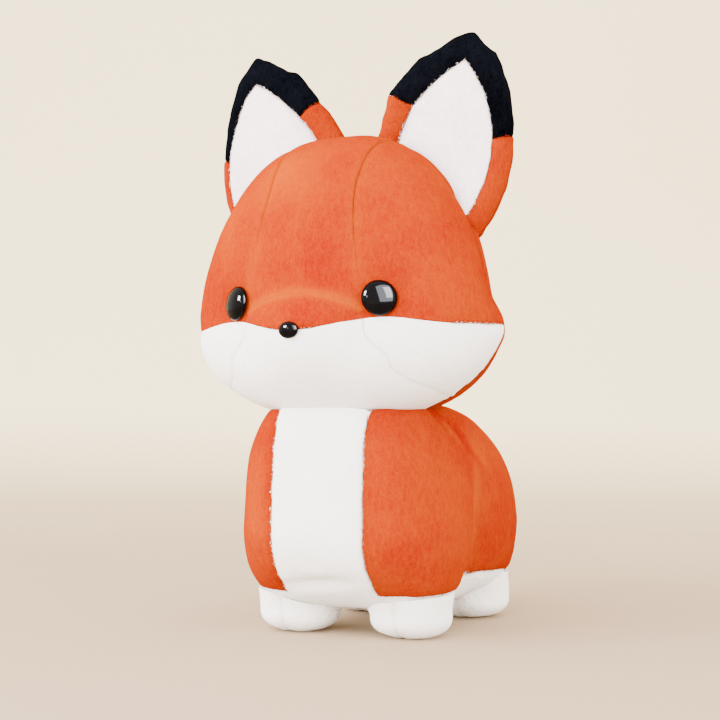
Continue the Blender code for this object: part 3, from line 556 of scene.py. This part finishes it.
# The seams of the face lie shallow: only the crown's draw in, more towards the top.
# The second number of each is the painted highlight beside it, strongest along the arc over the snout.
head_seams = {frozenset(("snout_top", "crown_gusset")): lambda z: (0.10, 0.85)}
for side in ("left", "right"):
    by_chin = frozenset(("chin_panel", "cheek_" + side))
    by_gusset = frozenset(("crown_gusset", "crown_" + side))
    by_snout = frozenset(("snout_top", "crown_" + side))
    head_seams[by_chin] = lambda z: (0.30 + 0.25 * eased((z - 0.125) / 0.03), 0.0)
    head_seams[by_gusset] = lambda z: (0.15 + 0.60 * eased((z - 0.19) / 0.05), 0.25)
    head_seams[by_snout] = lambda z: (0.15, 0.10)

# The crown is painted lighter in two places, a painted sheen, and painted darker
# between the eyes, a painted shade.
head_painted_shading = (
    (((-0.0175, -0.0431, 0.2655), (-0.0080, -0.0680, 0.2250)), 0.55, 0.020),
    (((-0.0449, -0.0500, 0.2444), (-0.0560, -0.0600, 0.2000)), 0.30, 0.016),
    (((0.0242, -0.0725, 0.2050), (0.0020, -0.0760, 0.1900)), -0.22, 0.022),
)
head.sew(seams=head_seams, painted_shading=head_painted_shading)
for label in head.names:
    head.panel(label + "_plush", label, fabric_of(label), label)
head.filling("head_stuffing", "head_filling")


# Ears. Each is a padded pocket: an orange rim that turns black at the tip wraps round
# a dished white lining, and the back is orange with a black tip. They are packed
# softly, turned in at the bottom and stitched down where they stand on the crown.

EAR_EDGES = (
    ((0.0055, 0.260), (0.0098, 0.299), (0.0480, 0.3345), (0.0690, 0.3364)),
    ((0.0220, 0.262), (0.0250, 0.289), (0.0500, 0.3060), (0.0655, 0.3145)),
    ((0.0545, 0.212), (0.0925, 0.244), (0.0850, 0.2920), (0.0655, 0.3145)),
    ((0.0655, 0.212), (0.1065, 0.247), (0.0895, 0.3200), (0.0690, 0.3364)),
)
COLOUR_CHANGE = (0.36, 0.43, 0.52, 0.44)
TIP_FROM = 0.45

ear_columns = crowded((0, 3, 9, 12), (13, 22, 13))
ear_rows = crowded((0.0, TIP_FROM, 1.0), (30, 46))


def ear_edge(number, up):
    """A point, as x and z, of one of the four edges that the rims and lining share."""
    share = np.interp(up, (0.0, TIP_FROM, 1.0), (0.0, COLOUR_CHANGE[number], 1.0))
    a, b, c, d = (np.array(end) for end in EAR_EDGES[number])
    rest = 1.0 - share
    return rest ** 3 * a + 3 * rest ** 2 * share * b + 3 * rest * share ** 2 * c + share ** 3 * d


def ear_point(side, column, up, face):
    """A point of the front (face -1) or back (face 1) of the ear, up from its base."""
    edges = [ear_edge(number, up) for number in range(4)]
    set_inner = -0.0030 + (0.0096 + 0.0030) * up
    set_outer = 0.0140 + (0.0096 - 0.0140) * up
    if column <= 3.0:
        share = column / 3.0
        x, z = edges[0] + (edges[1] - edges[0]) * share
        front = 0.0042 * math.sin(math.pi * share ** 0.8) + set_inner * share
    elif column >= 9.0:
        share = (12.0 - column) / 3.0
        x, z = edges[3] + (edges[2] - edges[3]) * share
        front = 0.0042 * math.sin(math.pi * share ** 0.8) + set_outer * share
    else:
        share = (column - 3.0) / 6.0
        x, z = edges[1] + (edges[2] - edges[1]) * share
        front = set_inner + (set_outer - set_inner) * share
        front -= 0.0026 * 4.0 * share * (1.0 - share) * (1.0 - up ** 2)
    puff = 0.0145 + (0.0085 - 0.0145) * float(eased(up / TIP_FROM))
    back = puff * max(math.sin(math.pi * column / 12.0), 0.0) ** 0.6
    depth = (back if face > 0.0 else -front) * (1.0 - 0.35 * up ** 2)
    curl = 0.0175 * (1.0 - column / 12.0) ** 4 * max(0.0, 1.0 - (up / TIP_FROM) ** 2)
    curl -= 0.0005 * max(0.0, (up - TIP_FROM) / (1.0 - TIP_FROM))
    y = -0.005 + 0.20 * (x - 0.05) + 0.02 * (z - 0.29) + curl + depth + MOVED
    return np.array((side * x, y, z))


def outside_head(point):
    """True where a point is clear of the head's stuffed surface."""
    point = Vector(point)
    core = Vector((0.5 * point.x, MOVED - 0.0133, HEAD_Z + 0.02))
    hit = head.tree.ray_cast(core, (point - core).normalized())[0]
    return hit is None or (hit - core).length < (point - core).length - 0.0002


def first_clear(point_at, low, high):
    """The first place between low and high where the ear is clear of the head."""
    for _ in range(24):
        middle = 0.5 * (low + high)
        if outside_head(point_at(middle)):
            high = middle
        else:
            low = middle
    return high


def ear_line(side, column, face):
    """One line of the ear from where it leaves the head up to its tip."""
    start = first_clear(lambda up: ear_point(side, column, up, face), 0.0, TIP_FROM)
    ups = np.where(ear_rows < TIP_FROM, start + (TIP_FROM - start) * ear_rows / TIP_FROM, ear_rows)
    return [ear_point(side, column, up, face) for up in ups]


def ear_label(i, j):
    """The panel that a cell of the ear's front belongs to."""
    tip = ear_rows[i] + 1e-6 >= TIP_FROM
    column = 0.5 * (ear_columns[j] + ear_columns[j + 1])
    if 3.0 < column < 9.0:
        return "lining"
    if tip:
        return "rim_tip"
    return "rim_inner" if column < 3.0 else "rim_outer"


for side, name in ((1.0, "left"), (-1.0, "right")):
    front = [ear_line(side, column, -1.0) for column in ear_columns]
    back = [ear_line(side, column, 1.0) for column in ear_columns]
    base = [[line[0] for line in front]]
    for share in (0.2, 0.4, 0.6, 0.8):
        row = []
        for first, last in zip(front, back):
            point = first[0] + (last[0] - first[0]) * share
            point[2] = first_clear(lambda z: (point[0], point[1], z), HEAD_Z + 0.02, 0.30)
            row.append(point)
        row[0], row[-1] = base[0][0], base[0][-1]
        base.append(row)
    base.append([line[0] for line in back])
    ear = SewnCover()
    ear.patch([list(row) for row in zip(*front)], ear_label)
    ear.patch(
        [list(row) for row in zip(*back)],
        lambda i, j: "back_tip" if ear_rows[i] + 1e-6 >= TIP_FROM else "back",
    )
    ear.patch(base, lambda i, j: "base")
    # Painted shade, pinkish on the lining, where the ear stands on the crown.
    shade = (((side * 0.022, -0.014, 0.266), (side * 0.058, -0.004, 0.222)), -0.7, 0.014)
    ear.sew(lumps=0.0007, pucker=0.0006, painted_shading=(shade,), round_above=0.3195)
    ear.panel("ear_lining_plush_" + name, "lining", lining_plush, "ear_lining_" + name)
    ear.panel("ear_rim_inner_plush_" + name, "rim_inner", orange_plush, "ear_rim_inner_" + name)
    ear.panel("ear_rim_outer_plush_" + name, "rim_outer", orange_plush, "ear_rim_outer_" + name)
    ear.panel("ear_rim_tip_plush_" + name, "rim_tip", black_plush, "ear_rim_tip_" + name)
    ear.panel("ear_back_plush_" + name, "back", orange_plush, "ear_back_" + name)
    ear.panel("ear_back_tip_plush_" + name, "back_tip", black_plush, "ear_back_tip_" + name)
    ear.panel("ear_turned_in_plush_" + name, "base", orange_plush, "ear_back_" + name)
    ear.filling("ear_stuffing_" + name, "ear_filling_" + name)


# Body. Two orange sides meet along the back, and one white panel runs from the chin
# down the chest and under the belly. It is sewn to the head at the neck, where the
# head's weight presses folds into the plush.

NECK = (0.0380, -0.0525, 0.0400, 2.8)
WIDEST = (0.0655, -0.0610, 0.1245, 3.0)
HEM = (0.0590, -0.0400, 0.1100, 3.8)
NECK_Z, WIDEST_Z, HEM_Z, BELLY_Z = 0.1255, 0.0590, 0.0230, 0.0115
CHEST_SEAM = 0.0270
REAR_PAW_Y = 0.0830

SIDE_CELLS = 92
CHEST_CELLS = 34

body_levels = crowded((-1.0, -0.5, 0.0, 1.0, 2.0, 3.0), (3, 5, 34, 22, 16))
side_shares = crowded((0.0, 1.0), (SIDE_CELLS,))
chest_shares = crowded((-1.0, 1.0), (CHEST_CELLS,))


def ring_point(ring, angle):
    """A point, as x and y, of one of the body's rings; the angle is 0 at the chest."""
    half_width, front, back, square = ring
    sideways, ahead = np.sin(np.radians(angle)), np.cos(np.radians(angle))
    size = (np.abs(sideways) ** square + np.abs(ahead) ** square) ** (-1.0 / square)
    y = 0.5 * (front + back) - 0.5 * (back - front) * ahead * size
    return np.stack([half_width * sideways * size, y], axis=-1)


def hem_height(y):
    """The hem's height: low round the front legs, and a step higher behind them."""
    return HEM_Z + 0.0012 + eased((y + 0.002) / 0.014) * (0.0085 - 0.060 * (y - 0.012))


def body_points(level, angle):
    """Points at a level: up to 0 the neck, 1 the widest, 2 the hem, 3 under the belly."""
    neck, wide, hem = (ring_point(ring, angle) for ring in (NECK, WIDEST, HEM))
    hem_z = hem_height(hem[..., 1])
    if level <= 0.0:
        middle = np.array((0.0, 0.5 * (NECK[1] + NECK[2])))
        plan, z = middle + (neck - middle) * (1.0 + level), NECK_Z + 0.0 * hem_z
    elif level <= 1.0:
        plan = neck + (wide - neck) * level
        z = WIDEST_Z + (NECK_Z - WIDEST_Z) * falling(level, 1.8, 2.0) + 0.0 * hem_z
    elif level <= 2.0:
        share = level - 1.0
        plan, z = wide + (hem - wide) * share ** 2.3, WIDEST_Z + (hem_z - WIDEST_Z) * share
    else:
        share = 3.0 - level
        middle = np.array((0.0, 0.5 * (FRONT_PAW_Y + REAR_PAW_Y)))
        plan, z = middle + (hem - middle) * share, BELLY_Z + (hem_z - BELLY_Z) * share ** 3.6
    x, y = plan[..., 0], plan[..., 1]
    if 0.0 < level <= 2.0:
        ahead = (y - 0.0160) / np.where(y < 0.0160, 0.0075, 0.0190)
        fold = np.exp(-ahead ** 2) * eased((0.112 - z) / 0.07)
        x = x - np.sign(x) * 0.0085 * fold * np.minimum(np.abs(x) / WIDEST[0], 1.0) ** 4
    return np.stack([x, y + MOVED, z], axis=-1)


def body_row(level):
    """A ring of the body, from the middle of its back round the chest and home."""
    low, high = 1.0, 80.0
    for _ in range(30):
        middle = 0.5 * (low + high)
        if body_points(max(level, 0.0) if level < 2.0 else 2.0, middle)[0] > CHEST_SEAM:
            high = middle
        else:
            low = middle
    sides = -180.0 + (180.0 - high) * side_shares[:-1]
    angles = np.concatenate([sides, high * chest_shares, -sides[:0:-1]])
    row = body_points(level, angles)
    for point in row:
        hit = head.tree.ray_cast(Vector((point[0], point[1], 0.0)), Vector((0.0, 0.0, 1.0)))[0]
        if hit is not None:
            point[2] = min(point[2], hit.z - 0.0003)
    return row


def body_label(i, j):
    """The panel that a cell of the body's grid belongs to."""
    if body_levels[i] + 1e-6 < -0.5:
        return "neck"
    if body_levels[i] + 1e-6 >= 2.0 or SIDE_CELLS <= j < SIDE_CELLS + CHEST_CELLS:
        return "belly"
    return "side_right" if j < SIDE_CELLS else "side_left"


body = SewnCover()
body.patch([body_row(level) for level in body_levels], body_label, closed=True)
neck_folds = (
    (((0.0450, -0.0120, 0.1220), (0.0560, -0.0010, 0.1060)), 0.0032, 0.0028),
    (((0.0470, 0.0040, 0.1225), (0.0590, 0.0240, 0.1000)), 0.0062, 0.0058),
    (((0.0500, 0.0200, 0.1170), (0.0630, 0.0420, 0.0880)), 0.0028, 0.0050),
    (((0.0420, -0.0300, 0.1200), (0.0500, -0.0330, 0.1060)), 0.0016, 0.0040),
)
neck_folds += tuple(
    (tuple((-x, y, z) for x, y, z in ends), depth, width) for ends, depth, width in neck_folds
)
chest_fold = (((-0.0250, -0.0450, 0.0285), (0.0170, -0.0500, 0.0325)), 0.0030, 0.0050)
# Painted light and painted shade on the body: light bands just behind the crease between front and hind
# legs and beside the neck folds, painted shade in the neck folds, and a broad lighter band down the
# front of the far side.
painted_shading = []
for side in (1.0, -1.0):
    painted_shading += [
        (((side * 0.0611, 0.0205, 0.0980), (side * 0.0609, 0.0185, 0.0640)), 0.55, 0.0045),
        (((side * 0.0609, 0.0185, 0.0700), (side * 0.0575, 0.0175, 0.0360)), 0.55, 0.0040),
        (((side * 0.0475, -0.0060, 0.1190), (side * 0.0570, 0.0040, 0.1040)), 0.60, 0.0016),
        (((side * 0.0540, 0.0270, 0.1120), (side * 0.0620, 0.0400, 0.0900)), 0.40, 0.0050),
        (((side * 0.0450, -0.0100, 0.1230), (side * 0.0500, 0.0020, 0.1180)), -0.55, 0.0040),
        (((side * 0.0490, 0.0065, 0.1190), (side * 0.0590, 0.0240, 0.1000)), -0.40, 0.0056),
    ]
painted_shading.append((((-0.0402, -0.0505, 0.0906), (-0.0378, -0.0530, 0.0480)), 0.35, 0.012))
body.sew(lumps=0.0012, folds=(*neck_folds, chest_fold), painted_shading=painted_shading)
body.panel("chest_belly_plush", "belly", white_plush, "chest_belly_panel")
body.panel("side_left_plush", "side_left", orange_plush, "side_left")
body.panel("side_right_plush", "side_right", orange_plush, "side_right")
body.filling("body_stuffing", "body_filling")


# Paws. Four short white bowls, each closed by a seam down its front, packed hard and
# sewn under the corners of the body so that its hem bulges over them.

PAW_X = 0.0338
PAW_HALF_WIDTH = 0.0218
PAW_HALF_LENGTH = 0.0232
PAW_WIDEST_Z = 0.0115
TURNED_IN_FROM = 22


def under_body(x, y, middle):
    """The place just under the body at x and y, drawn in until the body covers it."""
    for _ in range(60):
        hit = body.tree.ray_cast(Vector((x, y, -0.01)), Vector((0.0, 0.0, 1.0)))[0]
        if hit is not None and hit.z < hem_height(y - MOVED) + 0.001:
            return np.array((x, y, hit.z - 0.0003))
        x, y = middle[0] + 0.98 * (x - middle[0]), middle[1] + 0.98 * (y - middle[1])
    return np.array((x, y, HEM_Z))


def paw_column(middle, angle):
    """One line up a paw, from the middle of its sole to the middle of its closed top."""
    x_reach, y_reach = PAW_HALF_WIDTH * math.sin(angle), -PAW_HALF_LENGTH * math.cos(angle)
    top = under_body(middle[0] + 1.08 * x_reach, middle[1] + 1.08 * y_reach, middle)

    def bowl(z):
        """A point of the round part below the widest place."""
        size = float(falling((PAW_WIDEST_Z - z) / (PAW_WIDEST_Z + 0.0005), 2.5, 2.0))
        return np.array((middle[0] + x_reach * size, middle[1] + y_reach * size, z))

    sole = bowl(0.0)
    line = [np.array((middle[0], middle[1], 0.0)) * (1.0 - s) + sole * s for s in (0.0, 0.35, 0.7)]
    line += [bowl(PAW_WIDEST_Z * share) for share in crowded((0.0, 1.0), (12,))]
    widest = line[-1]
    bend = np.array((widest[0], widest[1], 0.5 * (widest[2] + top[2])))
    for share in crowded((0.0, 1.0), (8,))[1:]:
        rest = 1.0 - share
        line.append(rest ** 2 * widest + 2.0 * rest * share * bend + share ** 2 * top)
    for share in (0.7, 0.35, 0.0):
        x, y = middle[0] + (top[0] - middle[0]) * share, middle[1] + (top[1] - middle[1]) * share
        line.append(under_body(x, y, middle))
    return line


for side, side_name in ((1.0, "left"), (-1.0, "right")):
    for paw_y, end_name in ((FRONT_PAW_Y, "front"), (REAR_PAW_Y, "rear")):
        middle = (side * PAW_X, paw_y + MOVED)
        columns = [paw_column(middle, math.radians(6.0 * step)) for step in range(60)]
        paw = SewnCover()
        paw.patch(
            [list(row) for row in zip(*columns)],
            lambda i, j: "top" if i >= TURNED_IN_FROM else "bowl_left" if j < 30 else "bowl_right",
            closed=True,
        )
        name = f"{end_name}_{side_name}"
        paw.sew(lumps=0.0008, groove=0.0005)
        paw.labels = ["top" if label == "top" else "bowl" for label in paw.labels]
        paw.panel("paw_plush_" + name, "bowl", white_plush, "paw_" + name)
        paw.filling("paw_stuffing_" + name, "paw_filling_" + name)


# Tail. A short full brush in orange with a white end, sewn to the middle of the rump.

TAIL_Z = 0.0640
TAIL_LENGTH = 0.0660
TAIL_RISE = 0.0240
TAIL_RADIUS = 0.0270
ROOT_RADIUS = 0.0170
FULLEST_AT = 0.45
WHITE_FROM = 0.64

tail_shares = crowded((0.0, WHITE_FROM, 1.0), (26, 22))


def behind_rump(x, z):
    """The place on the rump that is straight ahead of x and z."""
    start = Vector((x, WIDEST[2] + MOVED + TAIL_LENGTH, z))
    hit = body.tree.ray_cast(start, Vector((0.0, -1.0, 0.0)))[0]
    return np.array((x, hit.y + 0.0003, z))


def tail_column(angle):
    """One line along the tail, from the middle of its root to the end of its tip."""
    half_root = 0.5 * ROOT_RADIUS
    edge = behind_rump(half_root * math.cos(angle), TAIL_Z + half_root * math.sin(angle))
    line = [behind_rump(0.0, TAIL_Z), edge]
    for share in tail_shares:
        radius = ROOT_RADIUS + (TAIL_RADIUS - ROOT_RADIUS) * float(eased(share / FULLEST_AT))
        if share > FULLEST_AT:
            beyond = (share - FULLEST_AT) / (1.0 - FULLEST_AT)
            radius = TAIL_RADIUS * float(falling(beyond, 1.9, 1.7))
        x, z = radius * math.cos(angle), TAIL_Z + TAIL_RISE * share ** 2 + radius * math.sin(angle)
        point = np.array((x, WIDEST[2] + TAIL_LENGTH * share + MOVED, z))
        if share == 0.0:
            point = behind_rump(x, z)
        elif share < 0.3:
            point[1] = max(point[1], behind_rump(x, z)[1] + 0.012 * share)
        line.append(point)
    return line


tail = SewnCover()
columns = [tail_column(math.radians(6.0 * step)) for step in range(60)]
tail.patch(
    [list(row) for row in zip(*columns)],
    lambda i, j: "root" if i < 2 else "brush" if tail_shares[i - 2] + 1e-6 < WHITE_FROM else "tip",
    closed=True,
)
tail.sew(lumps=0.0010)
tail.panel("tail_plush", "brush", orange_plush, "tail_cover")
tail.panel("tail_tip_plush", "tip", white_plush, "tail_tip")
tail.filling("tail_stuffing", "tail_filling")


# Eyes and nose. Glossy black domes moulded with a stem, which goes through the plush
# and is locked by a washer inside. The nose is the smaller one, pressed oval.

black_plastic, gloss = new_finish("black_plastic", Specular_IOR_Level=0.05, Coat_Roughness=0.03)
moulded = Shade.add("TexNoise", {}, {"Vector": Shade.add("TexCoord", output=3), "Scale": 90.0})
tint = moulded.between(colour(2, 2, 3), colour(6, 6, 8))
Shade.links.new(tint.socket, gloss.inputs["Base Color"])
Shade.links.new((0.05 + 0.05 * moulded).socket, gloss.inputs["Roughness"])
Shade.links.new((0.02 + 0.02 * moulded).socket, gloss.inputs["Coat Weight"])


def dome(name, node, axis, radius, height, squash=1.0, pulled_in=0.0):
    """A moulded dome on its stem, where the solid has its own or pulled in from there."""
    axis = Vector(axis).normalized()
    solid = bpy.data.objects[node]
    apex = max((vertex.co for vertex in solid.data.vertices), key=lambda point: point.dot(axis))
    apex = apex - axis * pulled_in
    second = (Vector((0.0, 0.0, 1.0)) - axis * axis.z).normalized()
    first = second.cross(axis)
    middle = apex - axis * height
    profile = []
    for step in range(15):
        turn = 0.5 * math.pi * step / 14.0
        profile.append((radius * math.sin(turn), 0.0007 + (height - 0.0007) * math.cos(turn)))
    profile += [(radius, 0.0004), (radius - 0.0003, 0.0)]
    profile += [(0.0022, 0.0), (0.0022, -0.0130), (0.0013, -0.0150)]
    points, rings = [apex], []
    for distance, level in profile[1:]:
        for step in range(48):
            turn = 2.0 * math.pi * step / 48
            oval = squash if level > -1e-9 else 1.0
            across = first * math.cos(turn) + second * math.sin(turn) * oval
            points.append(middle + across * distance + axis * level)
    for step in range(48):
        rings.append((0, 1 + step, 1 + (step + 1) % 48))
    for row in range(len(profile) - 2):
        for step in range(48):
            a, b = 1 + 48 * row + step, 1 + 48 * row + (step + 1) % 48
            rings.append((a, a + 48, b + 48, b))
    rings.append(tuple(range(len(points) - 1, len(points) - 49, -1)))
    piece = stitched(name, points, rings, black_plastic)
    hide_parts(node)
    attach(piece, "root")


for side, name in ((1.0, "left"), (-1.0, "right")):
    outward, upward = math.radians(31.0), math.radians(7.0)
    flat = math.cos(upward)
    axis = (side * flat * math.sin(outward), -flat * math.cos(outward), math.sin(upward))
    dome("eye_dome_" + name, "eye_" + name, axis, 0.0093, 0.0050, pulled_in=0.0021)
dome("nose_dome", "nose", (0.0, -1.0, 0.0), 0.0055, 0.0038, 0.8)

clear_washer, washer = new_finish(
    "clear_washer", Base_Color=colour(225, 228, 230), Transmission_Weight=0.35
)
flow = Shade.add("TexNoise", {}, {"Vector": Shade.add("TexCoord", output=3), "Scale": 260.0})
Shade.links.new((0.30 + 0.15 * flow).socket, washer.inputs["Roughness"])
for node in ("eye_left_washer", "eye_right_washer", "nose_washer"):
    bpy.data.objects[node].material_slots[0].material = clear_washer


# Studio. A pale seamless sweep and soft lights from the upper left, the right, low in
# front, behind, above and the left. The window, its pane, the sparkle and the lamp
# light no fabric: they only shine in the eyes and the nose.

CAMERA_TURN = math.radians(25.3)
CAMERA_TILT = math.radians(2.6)
CAMERA_AWAY = 0.8

paper, sheet = new_finish("pale_paper", Roughness=0.9, Specular_IOR_Level=0.0)
place = Shade.add("TexCoord", output=3)
grain = Shade.add("TexNoise", {}, {"Vector": place, "Scale": 3.0})
height = Shade.add("SeparateXYZ", {}, {"Vector": place}, 2)
back = Shade.add("SeparateXYZ", {}, {"Vector": place}, 1)
# Painted light: the sweep is painted darker on the floor near the fox and lighter up the wall and
# further back.
lit = Shade.add("MapRange", {}, {0: 4.0 * height + 0.32 * back + 0.08 * grain, 1: 0.12, 2: 1.0})
sweep_tone = lit.between(colour(170, 150, 127), colour(243, 231, 194))
Shade.links.new(sweep_tone.socket, sheet.inputs["Base Color"])
profile = [(-1.6, 0.0), (1.2, 0.0)]
for step in range(1, 25):
    turn = 0.5 * math.pi * step / 24
    profile.append((1.2 + 0.6 * math.sin(turn), 0.6 - 0.6 * math.cos(turn)))
profile.append((1.8, 3.0))
away = Vector((-math.sin(CAMERA_TURN), math.cos(CAMERA_TURN), 0.0))
across = Vector((math.cos(CAMERA_TURN), math.sin(CAMERA_TURN), 0.0))
points = [
    across * side + away * distance + Vector((0.0, 0.0, z))
    for distance, z in profile
    for side in (-3.0, 3.0)
]
rings = [(2 * step, 2 * step + 1, 2 * step + 3, 2 * step + 2) for step in range(len(profile) - 1)]
sweep = stitched("sweep", points, rings, paper)


def soft_light(name, place, size, watts, tone, height=None, only_shine=False):
    """A square or oblong lamp that faces the fox, for the fabric or only for the shine."""
    lamp = bpy.data.lights.new(name, "AREA")
    lamp.energy, lamp.color, lamp.size = watts, tone, size
    if height:
        lamp.shape, lamp.size_y = "RECTANGLE", height
    light = bpy.data.objects.new(name, lamp)
    light.location = place
    facing = Vector((0.0, MOVED, 0.17)) - Vector(place)
    light.rotation_euler = facing.to_track_quat("-Z", "Y").to_euler()
    light.visible_diffuse = not only_shine
    light.visible_glossy = only_shine
    bpy.context.scene.collection.objects.link(light)


soft_light("key", (-0.95, -1.35, 1.20), 1.3, 56.0, (1.0, 0.98, 0.94))
soft_light("fill", (1.25, -1.05, 0.40), 1.0, 12.0, (1.0, 0.98, 0.95))
soft_light("low", (-0.10, -1.4, 0.10), 0.8, 56.0, (1.0, 0.98, 0.96))
soft_light("rear", (1.40, -0.10, 0.14), 0.8, 30.0, (1.0, 0.98, 0.95))
soft_light("top", (0.1, 0.2, 1.8), 1.6, 20.0, (1.0, 0.97, 0.92))
soft_light("side", (-1.6, -0.3, 0.35), 0.8, 40.0, (1.0, 0.97, 0.93))
soft_light("window", (1.05, -0.62, 0.86), 1.45, 400.0, (0.90, 0.93, 1.0), 1.5, only_shine=True)
soft_light("pane", (1.16, -0.46, 0.90), 0.70, 300.0, (0.97, 0.98, 1.0), 0.90, only_shine=True)
soft_light("sparkle", (-0.26, -1.15, 0.50), 0.11, 6.0, (0.88, 0.93, 1.0), 0.14, only_shine=True)
soft_light("lamp", (-0.80, -1.15, 0.90), 0.44, 420.0, (1.0, 1.0, 1.0), only_shine=True)

world = bpy.data.worlds.new("room")
world.use_nodes = True
world.node_tree.nodes["Background"].inputs["Color"].default_value = colour(240, 232, 222)
world.node_tree.nodes["Background"].inputs["Strength"].default_value = 4.0
bpy.context.scene.world = world

lens = bpy.data.cameras.new("camera")
lens.sensor_width, lens.lens = 36.0, 70.65
camera = bpy.data.objects.new("camera", lens)
camera.location = (
    -0.0015 + CAMERA_AWAY * math.sin(CAMERA_TURN), MOVED - CAMERA_AWAY * math.cos(CAMERA_TURN), 0.1155
)
level = math.cos(CAMERA_TILT)
look = Vector((
    -math.sin(CAMERA_TURN) * level, math.cos(CAMERA_TURN) * level, math.sin(CAMERA_TILT),
))
camera.rotation_euler = look.to_track_quat("-Z", "Y").to_euler()
bpy.context.scene.collection.objects.link(camera)
bpy.context.scene.camera = camera
